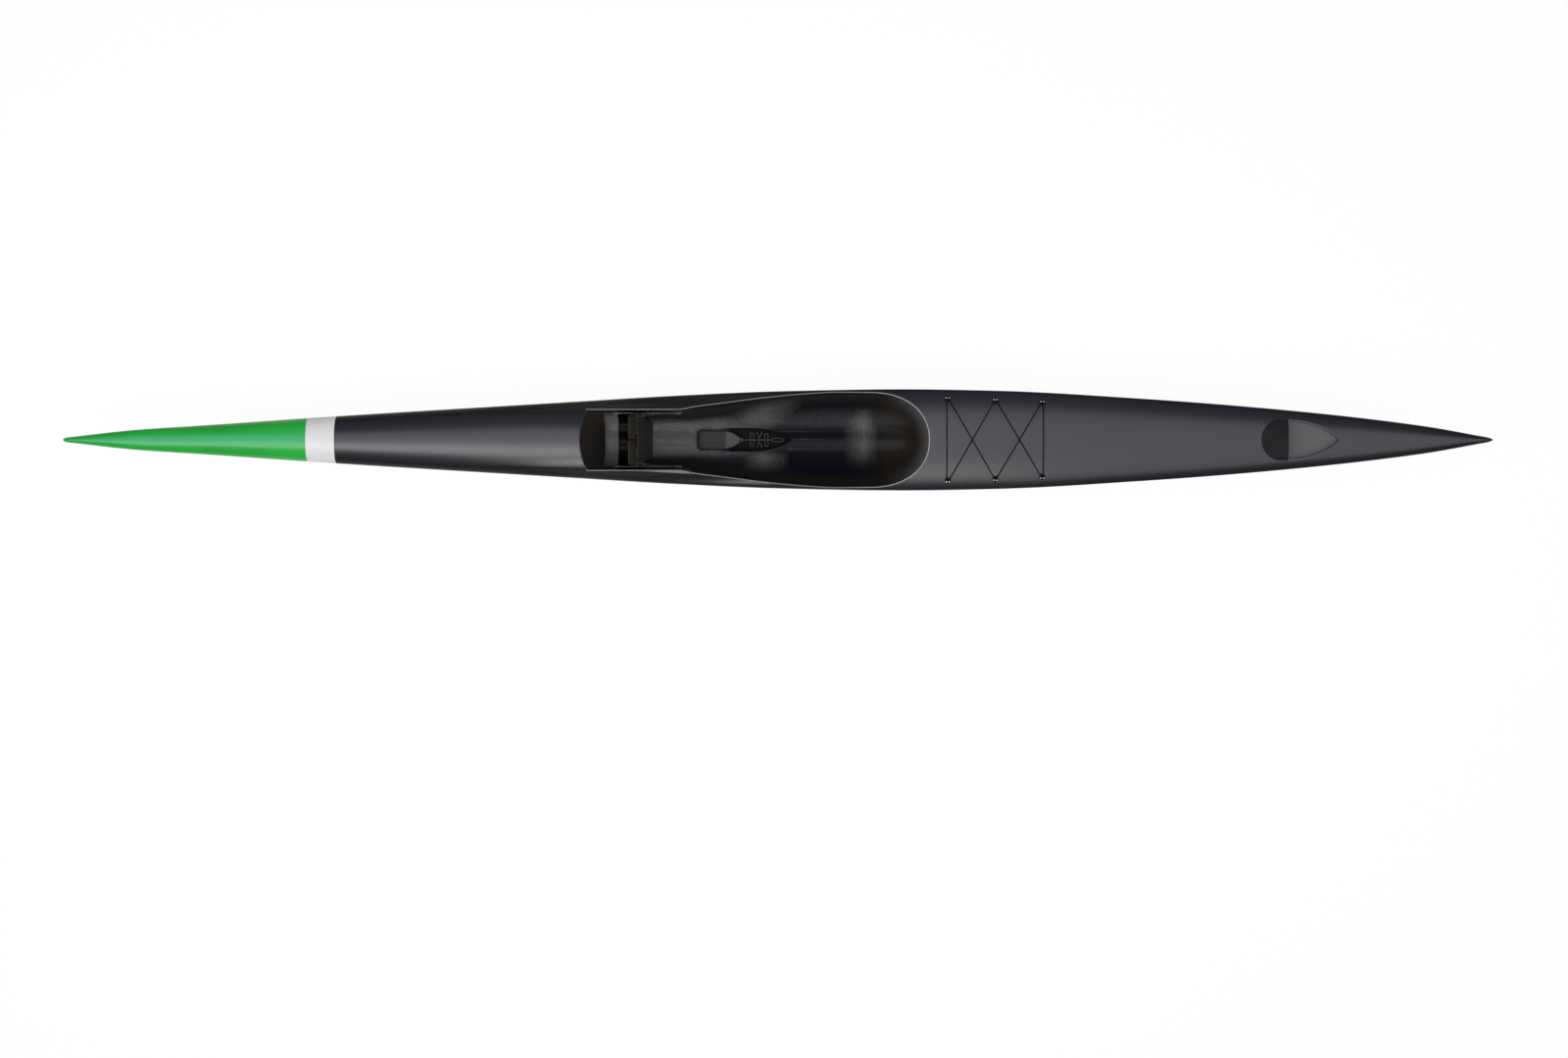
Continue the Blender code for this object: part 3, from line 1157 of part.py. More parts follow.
def bailer():
    """Self-bailer in its well: frame with a throat through the hull, cover, chute and lever."""
    rim = lambda x, y: floor_line(x) + FLOOR_RIDGE * max(1 - abs(y) / RIDGE_HALF, 0) + WELL_PROUD
    well = cup("bailer_well", well_outline(), rim, WELL_FLOOR, RECESS_SKIN, WELL_BEAD, BLACK_PLASTIC)
    passage = offset(throat_outline(), THROAT_WALL + SEAT_GAP)
    carve(well, prism("well_throat", passage, WELL_FLOOR - 0.01, WELL_FLOOR + 0.002))

    bottom = 0.6 * MM
    base = WELL_FLOOR + SEAT_GAP
    frame = prism("bailer_frame", bailer_outline(), base, BAILER_TOP, GREY_PLASTIC)
    carve(frame, prism("throat_wall", offset(throat_outline(), THROAT_WALL), bottom, base + 4 * MM), "UNION")
    for sign, side in ((-1, "port"), (1, "starboard")):
        near = sign * (LEVER_R + CHEEK_GAP)
        far = near + sign * CHEEK_THICK
        cheek = [
            (BAILER_AFT - 4 * MM, base), (LEVER_X + 6 * MM, base), (LEVER_X + 6 * MM, LEVER_Z + 2 * MM),
            (LEVER_X + 2 * MM, LEVER_Z + 5 * MM), (BAILER_AFT - 4 * MM, LEVER_Z + 5 * MM),
        ]
        low, high = min(near, far), max(near, far)
        carve(frame, side_prism("lever_cheek_" + side, cheek, low, high), "UNION")
    carve(frame, prism("throat", throat_outline(), -0.02, BAILER_TOP + 0.01))
    slot = block("crank_slot", (CHUTE_AFT - 0.010, -LEVER_R - CHEEK_GAP, WELL_FLOOR - 3 * MM),
                 (BAILER_AFT + 0.004, LEVER_R + CHEEK_GAP, BAILER_TOP + 0.01))
    carve(frame, slot)
    pin_half = CHUTE_HALF + THROAT_GAP + 3 * MM
    pin_z = CHUTE_TOP / 2 + bottom
    ends = ((CHUTE_PIN_X, -pin_half, pin_z), (CHUTE_PIN_X, pin_half, pin_z))
    carve(frame, rod("chute_pin_seat", ends[0], ends[1], CHUTE_PIN_R + SEAT_GAP, 12))
    rod("chute_pin", (CHUTE_PIN_X, -pin_half + SEAT_GAP, pin_z), (CHUTE_PIN_X, pin_half - SEAT_GAP, pin_z),
        CHUTE_PIN_R, 12, STEEL)
    reach = LEVER_R + CHEEK_GAP + CHEEK_THICK + 0.5 * MM
    lever_ends = ((LEVER_X, -reach - 2 * MM, LEVER_Z), (LEVER_X, reach + 2 * MM, LEVER_Z))
    carve(frame, rod("lever_pin_seat", lever_ends[0], lever_ends[1], LEVER_PIN_R + SEAT_GAP, 12))
    rod("lever_pin", (LEVER_X, -reach, LEVER_Z), (LEVER_X, reach, LEVER_Z), LEVER_PIN_R, 12, STEEL)

    cover = prism("bailer_cover", offset(bailer_outline(), -0.5 * MM), BAILER_TOP + SEAT_GAP,
                  BAILER_TOP + SEAT_GAP + COVER_THICK, GREY_PLASTIC)
    notch = block("cover_notch", (CHUTE_AFT - 0.016, -LEVER_R - 1.5 * MM, BAILER_TOP - 0.01),
                  (BAILER_AFT + 0.01, LEVER_R + 1.5 * MM, BAILER_TOP + 0.02))
    carve(cover, notch)
    window = 0.030
    for i in range(3):
        for sign, side in ((-1, "port"), (1, "starboard")):
            x = BAILER_FRONT + 0.010 + i * 0.036
            low = min(sign * 0.004, sign * 0.030)
            hole = block(f"cover_window_{side}_{i}", (x, low, BAILER_TOP - 0.01),
                         (x + window, low + 0.026, BAILER_TOP + 0.02))
            carve(cover, hole)

    origin = (CHUTE_PIN_X, 0, pin_z)
    chute = prism("bailer_chute", chute_outline(), bottom, CHUTE_TOP, BLACK_PLASTIC, origin)
    lug_top = LEVER_Z - LEVER_R - SEAT_GAP
    lug_aft = CHUTE_AFT - LUG_SETBACK
    lug_fore = lug_aft - LUG_LENGTH
    lug = block("chute_lug", (lug_fore, -LEVER_R, CHUTE_TOP - 4 * MM), (lug_aft, LEVER_R, lug_top))
    carve(chute, lug, "UNION")
    carve(chute, rod("chute_bore", (CHUTE_PIN_X, -0.05, pin_z), (CHUTE_PIN_X, 0.05, pin_z), CHUTE_PIN_R + RUN_GAP, 12))

    origin = (LEVER_X, 0, LEVER_Z)
    start = Vector((lug_fore + CRANK_PAST_LUG, 0, LEVER_Z))
    lever = rod("bailer_lever", start, (LEVER_X + LEVER_LENGTH, 0, LEVER_Z), LEVER_R, 10, STEEL, origin)
    knob = ((0, 2.6 * MM), (1 * MM, 4.5 * MM), (13 * MM, 4.5 * MM), (16 * MM, 2.6 * MM))
    grip = turned("lever_grip", (LEVER_X + LEVER_LENGTH - 14 * MM, 0, LEVER_Z), (1, 0, 0), knob, 12)
    carve(lever, grip, "UNION")
    boss = rod("lever_boss", (LEVER_X, -LEVER_R, LEVER_Z), (LEVER_X, LEVER_R, LEVER_Z), 4 * MM, 12)
    carve(lever, boss, "UNION")
    for number, out in enumerate(LOOPS):
        carve(lever, ring(f"lever_loop_{number}", (LEVER_X + out, 0, LEVER_Z), LOOP_R, LOOP_BAR), "UNION")
    start = (LEVER_X, -0.01, LEVER_Z)
    carve(lever, rod("lever_bore", start, (LEVER_X, 0.01, LEVER_Z), LEVER_PIN_R + RUN_GAP, 12))


def ring(name, centre, radius, bar):
    """A flat-lying round ring."""
    points, faces = [], []
    rounds, sides = 12, 6
    for i in range(rounds):
        a = 2 * math.pi * i / rounds
        for j in range(sides):
            b = 2 * math.pi * j / sides
            out = radius + bar * math.cos(b)
            points.append((centre[0] + out * math.cos(a), centre[1] + out * math.sin(a), centre[2] + bar * math.sin(b)))
    for i in range(rounds):
        for j in range(sides):
            k = (i + 1) % rounds
            m = (j + 1) % sides
            faces.append((i * sides + j, k * sides + j, k * sides + m, i * sides + m))
    return mesh_object(name, points, faces, None)


hull_shell()
deck_shell()
cockpit_tub()
stern_recess()
hood()
foot_rails()
footplate()
pedals()
rail_clamps()
rudder_lines()
blade()
rudder_gear()
deck_eyes()
bungee()
bailer()
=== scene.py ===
"""Looks of a single-seat surfski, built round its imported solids.

Metres. +X runs aft, +Y to starboard, +Z up. The origin is on the keel at half length.
The hull's surfaces follow the same lines as the solids, on finer grids.
"""

import math

import bmesh
import bpy
import numpy as np
from mathutils import Matrix, Vector


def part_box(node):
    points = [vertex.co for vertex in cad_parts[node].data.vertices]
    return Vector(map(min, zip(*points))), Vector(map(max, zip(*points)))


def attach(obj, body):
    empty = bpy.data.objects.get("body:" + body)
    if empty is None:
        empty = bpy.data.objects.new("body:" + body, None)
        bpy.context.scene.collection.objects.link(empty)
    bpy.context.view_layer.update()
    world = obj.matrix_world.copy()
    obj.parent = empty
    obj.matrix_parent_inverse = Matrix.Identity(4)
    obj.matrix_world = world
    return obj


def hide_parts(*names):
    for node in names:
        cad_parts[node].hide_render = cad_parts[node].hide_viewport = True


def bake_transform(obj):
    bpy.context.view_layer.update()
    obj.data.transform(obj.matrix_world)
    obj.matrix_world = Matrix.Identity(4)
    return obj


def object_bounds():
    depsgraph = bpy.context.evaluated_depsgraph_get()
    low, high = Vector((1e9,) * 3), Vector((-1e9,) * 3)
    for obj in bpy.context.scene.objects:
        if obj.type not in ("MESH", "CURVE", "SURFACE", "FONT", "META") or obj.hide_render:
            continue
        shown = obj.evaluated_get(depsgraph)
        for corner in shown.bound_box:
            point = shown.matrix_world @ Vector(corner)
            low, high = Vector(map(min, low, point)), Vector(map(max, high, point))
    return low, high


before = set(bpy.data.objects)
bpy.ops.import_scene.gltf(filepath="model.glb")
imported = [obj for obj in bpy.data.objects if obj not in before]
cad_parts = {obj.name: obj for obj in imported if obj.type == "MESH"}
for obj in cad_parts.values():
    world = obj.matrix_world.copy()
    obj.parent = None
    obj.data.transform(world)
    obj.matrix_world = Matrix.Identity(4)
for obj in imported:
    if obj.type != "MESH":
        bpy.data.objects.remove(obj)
cad_low, cad_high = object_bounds()

MM = 0.001
PI = math.pi
SIDES = (("port", -1), ("starboard", 1))

# Hull
LENGTH = 6.400
BEAM = 0.456
STERN = LENGTH / 2
HULL_SKIN = 3.5 * MM
DECK_SKIN = 3.0 * MM
TRAY_SKIN = 2.5 * MM         # walls of the stern recess and of the bailer's well
KEEL_FLAT = 12 * MM
SEAM = 0.3 * MM
DECK_FULLNESS = 2.2
SCALLOP_FRONT = -1.360
SCALLOP_LENGTH = 1.340
SCALLOP_INNER = 0.76         # where it starts, as a share of the half breadth
SCALLOP_DEPTH = 9 * MM
BAND_FORE = -2.118           # the white band between green bow and dark hull
BAND_AFT = -1.992

# Cockpit
COCKPIT_FRONT = -0.904
COCKPIT_AFT = 0.661
FRONT_SWEEP = 0.030
AFT_CAP = 0.266
CAP_POWER = 2.2              # a little rounder aft than the solids, to follow the photo
FRONT_RUN = 0.105            # from the cockpit's edge down to its full depth
BACK_RUN = 0.370
FOOTWELL_POWER = 3.5         # a square cross section at the feet, a rounder one at the seat
SEAT_POWER = 2.4
TUB_ROWS = 190
TUB_COLUMNS = 121
RIM_WIDTH = 5 * MM
RIM_PROUD = 1.2 * MM
RIM_DEPTH = 6 * MM
TUB_SKIN = 2.5 * MM
FLOOR_RIDGE = 8 * MM
RIDGE_HALF = 0.050
CONDUIT_HOLE_R = 4.1 * MM
CONDUIT_MOUTH = (-0.440, 0.205)

# Stern recess and rudder
RECESS_FRONT = STERN - 1.043
HOOD_AFT = STERN - 0.929
RECESS_AFT = STERN - 0.694
RECESS_HALF = 0.0867
RECESS_SHOULDER = 0.084
RECESS_FLOOR = 0.190
HOOD_SKIN = 2.5 * MM
HOOD_RISE = 11 * MM
RUDDER_X = STERN - 0.965
YOKE_Z = 0.1966
YOKE_ARM = 0.040
STOCK_R = 5 * MM
STOCK_BELOW = 24 * MM        # how far the stock reaches down into the blade
STOCK_HOLE_R = 9.3 * MM
BUSH_HOLE_R = 7 * MM
LINE_HOLE_R = 2.5 * MM
LINE_R = 1.5 * MM
LINE_UP = 0.036              # where a line meets its pedal: up the slope, and out from the middle
LINE_OUT = 0.100
LINE_THROUGH = 9 * MM        # from the pedal's hinge plane to the knot behind it, and to its seat side
BLADE_AHEAD = 0.036
BLADE_DEPTH = 0.176
BLADE_CHORD = 0.119
BLADE_THICKNESS = 0.125      # as a share of the chord

# Bailer
WELL_FRONT = -0.392
WELL_AFT = 0.037
WELL_HALF = 0.049
WELL_FLOOR = 0.022
WELL_NOSE = 0.024
THROAT_GAP = 2.8 * MM
COVER_SHOULDER = -0.261      # where the cover starts to narrow
COVER_TAIL_HALF = 11.5 * MM
GROOVE_DEPTH = 0.9 * MM
GROOVES_ACROSS = (-0.3725, -0.3560, -0.3320, -0.2985, -0.2850, -0.2640)
GROOVES_ALONG = (-0.0335, -0.0230, -0.0100, 0.0100, 0.0230, 0.0335)
LEVER_X = -0.188
LEVER_Z = 0.039
LEVER_ROD_R = 2.5 * MM
LEVER_LOOP_R = 1.9 * MM
LEVER_BRACE_R = 1.8 * MM

# Deck eyes and bungee
EYES = ((0.741, 0.182), (0.955, 0.175), (1.166, 0.1655))
EYE_R = 14 * MM
EYE_BASE = 3 * MM
CORD_R = 2.6 * MM
CORD_GAP = 0.8 * MM
ARCH_GAP = 0.9 * MM
ARCH_HALF = 5.7 * MM
ARCH_R = 1.45 * MM
EYE_SCREW_AWAY = 6.2 * MM    # fore and aft of the eye's middle
EYE_SCREW_OUT = 5.6 * MM     # towards the sheer
EYE_SCREW_R = 2.8 * MM
CROSSING_HALF = 0.045        # half the width over which one leg rises over the other
CORD_BEND = 6 * MM

# Footplate hinge, and how far the plate leans
HINGE_X = -0.657
HINGE_Z = 0.212
PLATE_LEAN = math.radians(28.7)

# Camera, in the frame of the photo
PHOTO_WIDTH = 1600
PHOTO_SHIFT = -91            # pixels, downwards, so that the boat lies above the middle of the frame
CAMERA_AT = (0.006, 0, 10.22)
CAMERA_LENS = 51.06


def fair(points):
    """A monotone cubic curve through (station, value) points, for whole arrays at once."""
    s, v = np.array(points, float).T
    gap = np.diff(s)
    rise = np.diff(v) / gap
    slope = np.zeros(len(s))
    slope[0], slope[-1] = rise[0], rise[-1]
    a = 2 * gap[1:] + gap[:-1]
    b = gap[1:] + 2 * gap[:-1]
    turning = rise[:-1] * rise[1:] <= 0
    safe = np.where(rise == 0, 1.0, rise)
    slope[1:-1] = np.where(turning, 0, (a + b) / (a / safe[:-1] + b / safe[1:]))

    def value(at):
        at = np.clip(at, s[0], s[-1])
        i = np.clip(np.searchsorted(s, at, side="right") - 1, 0, len(gap) - 1)
        t = (at - s[i]) / gap[i]
        ends = v[i] * (1 + 2 * t) * (1 - t) ** 2 + v[i + 1] * t * t * (3 - 2 * t)
        return ends + gap[i] * t * (1 - t) * (slope[i] * (1 - t) - slope[i + 1] * t)

    return value


# Hull lines, by station as a share of the length from the bow
breadth_line = fair((
    (0, 0.04), (0.05, 0.193), (0.10, 0.289), (0.175, 0.439), (0.325, 0.702), (0.425, 0.873),
    (0.50, 0.962), (0.585, 1.0), (0.65, 0.971), (0.75, 0.820), (0.85, 0.601), (0.95, 0.281), (1, 0.035),
))
keel_line = fair((
    (0, 0.098), (0.05, 0.059), (0.10, 0.040), (0.175, 0.0235), (0.25, 0.0125), (0.325, 0.004),
    (0.385, 0), (0.585, 0), (0.65, 0.008), (0.75, 0.0215), (0.85, 0.0435), (0.95, 0.0785), (1, 0.100),
))
crown_line = fair((
    (0, 0.350), (0.05, 0.366), (0.10, 0.365), (0.175, 0.353), (0.325, 0.324), (0.36, 0.315),
    (0.425, 0.278), (0.475, 0.260), (0.55, 0.253), (0.65, 0.244), (0.85, 0.2275), (0.95, 0.217), (1, 0.206),
))
sheer_line = fair((
    (0, 0.92), (0.05, 0.92), (0.10, 0.87), (0.175, 0.80), (0.25, 0.785), (0.325, 0.76), (0.37, 0.68),
    (0.425, 0.745), (0.475, 0.81), (0.55, 0.84), (0.65, 0.85), (0.85, 0.81), (1, 0.80),
))
fullness_line = fair(((0, 1.5), (0.3, 2.1), (0.6, 2.3), (0.85, 2.0), (1, 1.7)))

# Cockpit lines, by station in metres: half width at the rim, and height of the floor
rim_line = fair((
    (-0.904, 0.139), (-0.470, 0.139), (-0.395, 0.152), (-0.250, 0.171), (-0.075, 0.193),
    (0.120, 0.211), (0.241, 0.217), (0.395, 0.216),
))
floor_line = fair((
    (-0.904, 0.066), (-0.420, 0.066), (-0.30, 0.060), (-0.03, 0.046), (0.30, 0.042), (0.661, 0.048),
))


def quarter(distance, run, power):
    """Rises from 0 at the tip to 1 after a run, as a quarter of a superellipse."""
    t = np.clip(distance / run, 0, 1)
    return (1 - (1 - t) ** power) ** (1 / power)


def share(x):
    """A station as a share of the length from the bow."""
    return x / LENGTH + 0.5


def half_breadth(x):
    """Half the beam by station, rounded off at both tips."""
    tip = np.minimum(quarter(x + STERN, 0.03, 2), quarter(STERN - x, 0.03, 2))
    return BEAM / 2 * breadth_line(share(x)) * np.maximum(tip, 0.15)


def keel_z(x):
    """Height of the keel, swept up in a round stem and transom."""
    stem = 0.225 * (1 - quarter(x + STERN, 0.085, 1.5))
    transom = 0.095 * (1 - quarter(STERN - x, 0.060, 1.5))
    return keel_line(share(x)) + stem + transom


def crown_z(x):
    """Height of the deck on the centreline, turned down at both tips."""
    bow = 0.020 * (1 - quarter(x + STERN, 0.03, 2))
    stern = 0.006 * (1 - quarter(STERN - x, 0.03, 2))
    return crown_line(share(x)) - bow - stern


def sheer_z(x):
    """Height of the edge between hull and deck, as a share of the way from keel to crown."""
    return keel_z(x) + sheer_line(share(x)) * (crown_z(x) - keel_z(x))


def scallop(x, r):
    """Hollow between the cockpit rim and the sheer: a sine along by a sine across."""
    lengthwise = np.sin(PI * np.clip((x - SCALLOP_FRONT) / SCALLOP_LENGTH, 0, 1))
    across = np.sin(PI * np.clip((r - SCALLOP_INNER) / (1 - SCALLOP_INNER), 0, 1))
    return SCALLOP_DEPTH * lengthwise * across


def deck_z(x, y, inset=0.0):
    """Deck height: a superellipse from sheer to crown, less the hollow beside the cockpit."""
    r = np.minimum(np.abs(y) / half_breadth(x), 1.0)
    crown = np.maximum(crown_z(x) - inset - sheer_z(x), 0.0002)
    return sheer_z(x) + crown * (1 - r**DECK_FULLNESS) ** (1 / DECK_FULLNESS) - scallop(x, r)


def deck_normal(x, y):
    """The deck's upward direction, from its slopes along and across."""
    step = 2 * MM
    across = (deck_z(x, y + step) - deck_z(x, y - step)) / (2 * step)
    lengthwise = (deck_z(x + step, y) - deck_z(x - step, y)) / (2 * step)
    normal = np.stack([-lengthwise, -across, np.ones_like(lengthwise)], axis=-1)
    return normal / np.linalg.norm(normal, axis=-1, keepdims=True)


def stations(count):
    """Places along the hull, closing up quadratically towards each tip."""
    tip = 0.13 * np.linspace(0, 1, 26) ** 2
    middle = np.linspace(tip[-1], LENGTH - tip[-1], count)[1:-1]
    return np.concatenate([tip, middle, LENGTH - tip[::-1]]) - STERN


def arc_share(angle, power):
    """Across and down shares of a superellipse at an angle from its middle."""
    across = np.sign(angle) * np.abs(np.sin(angle)) ** (2 / power)
    return across, np.maximum(np.cos(angle), 0) ** (2 / power)


# Meshes

def quads(rows, columns, wrap=False):
    """Faces of a grid of points kept row by row; wrap joins each row's end to its start."""
    i = np.arange(rows - 1)[:, None]
    j = np.arange(columns if wrap else columns - 1)[None, :]
    a = i * columns + j
    b = i * columns + (j + 1) % columns
    return np.stack([a, b, b + columns, a + columns], axis=-1).reshape(-1, 4).tolist()


def body_mesh(name, points, faces, looks, uv=None, sharp=40, face_look=None):
    """A closed mesh with merged points, faces turned out, smooth but for edges past an angle."""
    points = np.asarray(points, float).reshape(-1, 3)
    mesh = bpy.data.meshes.new(name)
    mesh.from_pydata(points.tolist(), [], faces)
    if uv is not None:
        layer = mesh.uv_layers.new(name="surface")
        corner = np.zeros(len(mesh.loops), np.int32)
        mesh.loops.foreach_get("vertex_index", corner)
        layer.data.foreach_set("uv", np.asarray(uv, np.float32).reshape(-1, 2)[corner].ravel())
    if face_look is not None:
        mesh.polygons.foreach_set("material_index", np.asarray(face_look, np.int32))
    work = bmesh.new()
    work.from_mesh(mesh)
    bmesh.ops.remove_doubles(work, verts=work.verts, dist=1e-6)
    bmesh.ops.recalc_face_normals(work, faces=work.faces)
    if work.calc_volume(signed=True) < 0:
        bmesh.ops.reverse_faces(work, faces=work.faces)
    work.to_mesh(mesh)
    work.free()
    for look in looks if isinstance(looks, (list, tuple)) else [looks]:
        mesh.materials.append(look)
    mesh.shade_smooth()
    mesh.set_sharp_from_angle(angle=math.radians(sharp))
    piece = bpy.data.objects.new(name, mesh)
    bpy.context.scene.collection.objects.link(piece)
    return piece


def settle(piece, sharp=40):
    """Takes a piece's modifiers into its mesh."""
    bpy.context.view_layer.update()
    graph = bpy.context.evaluated_depsgraph_get()
    mesh = bpy.data.meshes.new_from_object(piece.evaluated_get(graph))
    piece.modifiers.clear()
    piece.data = mesh
    mesh.shade_smooth()
    mesh.set_sharp_from_angle(angle=math.radians(sharp))


def cut(piece, tools):
    """Cuts closed tools out of a piece, then removes them."""
    for tool in tools:
        change = piece.modifiers.new("cut", "BOOLEAN")
        change.operation = "DIFFERENCE"
        change.solver = "EXACT"
        change.object = tool
    settle(piece, 50)
    for tool in tools:
        bpy.data.objects.remove(tool, do_unlink=True)
    if not piece.data.polygons:
        raise RuntimeError(piece.name + " came out empty")


def note_lean(piece):
    """Keeps each point's lean as an attribute, from 0 level to 1 upright.

    It comes from the faces round the point, but for upright ones, such as a cut's edge.
    """
    mesh = piece.data
    count = len(mesh.polygons)
    normal, area, corners = np.zeros(count * 3), np.zeros(count), np.zeros(count, np.int32)
    mesh.polygons.foreach_get("normal", normal)
    mesh.polygons.foreach_get("area", area)
    mesh.polygons.foreach_get("loop_total", corners)
    vertex = np.zeros(len(mesh.loops), np.int32)
    mesh.loops.foreach_get("vertex_index", vertex)
    normal = normal.reshape(-1, 3)
    weight = area * (np.abs(normal[:, 2]) > 0.03)
    total = np.zeros((len(mesh.vertices), 3))
    np.add.at(total, vertex, np.repeat(normal * weight[:, None], corners, axis=0))
    up = total[:, 2] / np.maximum(np.linalg.norm(total, axis=1), 1e-12)
    lean = mesh.attributes.new("lean", "FLOAT", "POINT")
    lean.data.foreach_set("value", (1 - np.clip(up, 0, 1)).astype(np.float32))


def ring_loft(name, rings, looks, uv=None, sharp=40):
    """Skin over an array of closed rings, with a flat face at each end."""
    rows, columns = rings.shape[:2]
    faces = quads(rows, columns, wrap=True)
    faces += [list(range(columns)), list(range((rows - 1) * columns, rows * columns))]
    return body_mesh(name, rings, faces, looks, uv, sharp)


def prism(name, outline, low, high):
    """An outline in plan, raised from one height to another."""
    flat = np.asarray(outline, float)
    rings = np.stack([np.column_stack([flat, np.full(len(flat), z)]) for z in (low, high)])
    return ring_loft(name, rings, [])


def offset_arrows(outline):
    """For each point of a closed outline, the step that moves both its edges out by one."""
    p = np.asarray(outline, float)
    ahead = np.roll(p, -1, axis=0) - p
    ahead /= np.maximum(np.linalg.norm(ahead, axis=1), 1e-12)[:, None]
    area = np.sum(p[:, 0] * np.roll(p[:, 1], -1) - p[:, 1] * np.roll(p[:, 0], -1))
    normal = np.stack([ahead[:, 1], -ahead[:, 0]], axis=1) * math.copysign(1, area)
    middle = normal + np.roll(normal, 1, axis=0)
    middle /= np.maximum(np.linalg.norm(middle, axis=1), 1e-12)[:, None]
    reach = np.maximum(np.sum(middle * normal, axis=1), 0.4)
    return middle / reach[:, None]


def offset(outline, distance):
    """A closed outline moved out by a distance."""
    return np.asarray(outline) + offset_arrows(outline) * distance


def sweep(path, radius, sides, closed=False):
    """Rings round a path, their frame carried along without twist.

    Round a closed path the twist that is left at its end is shared out over all rings.
    """
    path = np.asarray(path, float)
    ahead = np.roll(path, -1, axis=0) - np.roll(path, 1, axis=0)
    if not closed:
        ahead[0], ahead[-1] = path[1] - path[0], path[-1] - path[-2]
    ahead /= np.linalg.norm(ahead, axis=1)[:, None]
    side = np.cross(ahead[0], (0, 0, 1))
    if np.linalg.norm(side) < 0.01:
        side = np.array((0.0, 1.0, 0.0))
    frames = []
    for step in ahead:
        side = side - step * (side @ step)
        side = side / np.linalg.norm(side)
        frames.append(side)
    frames = np.array(frames)
    lift = np.cross(frames, ahead)
    turn = np.zeros(len(path))
    if closed:
        last = frames[-1] - ahead[0] * (frames[-1] @ ahead[0])
        twist = math.atan2(last @ lift[0], last @ frames[0])
        turn = -twist * np.arange(len(path)) / len(path)
    angle = np.linspace(0, 2 * PI, sides, endpoint=False)[None, :] + turn[:, None]
    radius = np.broadcast_to(radius, (len(path),))[:, None, None]
    arms = frames[:, None, :] * np.cos(angle)[..., None] + lift[:, None, :] * np.sin(angle)[..., None]
    return path[:, None, :] + radius * arms


def along(path):
    """Distance along a path at each of its points."""
    path = np.asarray(path, float)
    steps = np.linalg.norm(np.diff(path, axis=0), axis=1)
    return np.concatenate([[0], np.cumsum(steps)])


def cord(name, path, radius, look, sides=14, closed=False):
    """A round cord along a path, its UV map in metres along and turns around."""
    rings = sweep(path, radius, sides, closed)
    run = along(path)
    rows = len(rings)
    points = np.concatenate([rings, rings[:1]]) if closed else rings
    length = run
    if closed:
        length = np.concatenate([run, [run[-1] + np.linalg.norm(path[-1] - path[0])]])
    count = len(points)
    uv = np.zeros((count, sides + 1, 2))
    uv[..., 0] = length[:, None]
    uv[..., 1] = np.linspace(0, 1, sides + 1)[None, :]
    points = np.concatenate([points, points[:, :1]], axis=1)
    faces = quads(count, sides + 1)
    if not closed:
        faces += [list(range(sides)), [(rows - 1) * (sides + 1) + k for k in range(sides)]]
    return body_mesh(name, points, faces, look, uv, sharp=60)


def smooth_route(points, count):
    """Evenly spaced points on a Catmull-Rom curve through chosen points."""
    p = np.asarray(points, float)
    p = np.concatenate([[2 * p[0] - p[1]], p, [2 * p[-1] - p[-2]]])
    t = (np.arange(20) / 20)[:, None]
    fine = []
    for a, b, c, d in zip(p, p[1:], p[2:], p[3:]):
        square = 2 * a - 5 * b + 4 * c - d
        cube = 3 * b - a - 3 * c + d
        fine.append(0.5 * (2 * b + (c - a) * t + square * t**2 + cube * t**3))
    fine = np.concatenate(fine + [p[-2:-1]])
    run = along(fine)
    even = np.linspace(0, run[-1], count)
    return np.stack([np.interp(even, run, fine[:, k]) for k in range(3)], axis=1)


def lathe(name, start, direction, profile, look, sides=40, sharp=40):
    """A round body from (distance, radius) steps along a line."""
    start = np.asarray(start, float)
    direction = np.asarray(direction, float) / np.linalg.norm(direction)
    side = np.cross(direction, (0, 0, 1))
    if np.linalg.norm(side) < 0.01:
        side = np.array((0.0, 1.0, 0.0))
    side = side / np.linalg.norm(side)
    lift = np.cross(side, direction)
    steps = np.asarray(profile, float)
    angle = np.linspace(0, 2 * PI, sides, endpoint=False)
    arms = np.cos(angle)[:, None] * side + np.sin(angle)[:, None] * lift
    rings = start + steps[:, 0, None, None] * direction + steps[:, 1, None, None] * arms[None]
    return ring_loft(name, rings, look, sharp=sharp)


def bore(name, start, direction, radius, depth, sides):
    """A plain round tool for cutting a hole."""
    return lathe(name, start, direction, ((0, radius), (depth, radius)), None, sides)


def round_over(piece, width, segments, least):
    """Bevels the edges that turn by more than an angle in degrees."""
    change = piece.modifiers.new("edges", "BEVEL")
    change.width = width
    change.segments = segments
    change.limit_method = "ANGLE"
    change.angle_limit = math.radians(least)
    change.use_clamp_overlap = True
    settle(piece)


def softened(node, name, look, width, body, segments=3):
    """A node's own shape with merged points, clean flats and rounded edges."""
    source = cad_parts[node]
    mesh = source.data.copy()
    mesh.name = name
    work = bmesh.new()
    work.from_mesh(mesh)
    bmesh.ops.remove_doubles(work, verts=work.verts, dist=1e-5)
    bmesh.ops.dissolve_limit(work, angle_limit=0.02, verts=work.verts, edges=work.edges)
    work.to_mesh(mesh)
    work.free()
    mesh.materials.clear()
    mesh.materials.append(look)
    piece = bpy.data.objects.new(name, mesh)
    bpy.context.scene.collection.objects.link(piece)
    round_over(piece, width, segments, 32)
    place(piece, body, [node])


def place(piece, body, replaces=()):
    """Rides a finished piece on its body, and hides the nodes it stands for."""
    if replaces:
        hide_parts(*replaces)
    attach(piece, body)


# Shader helpers

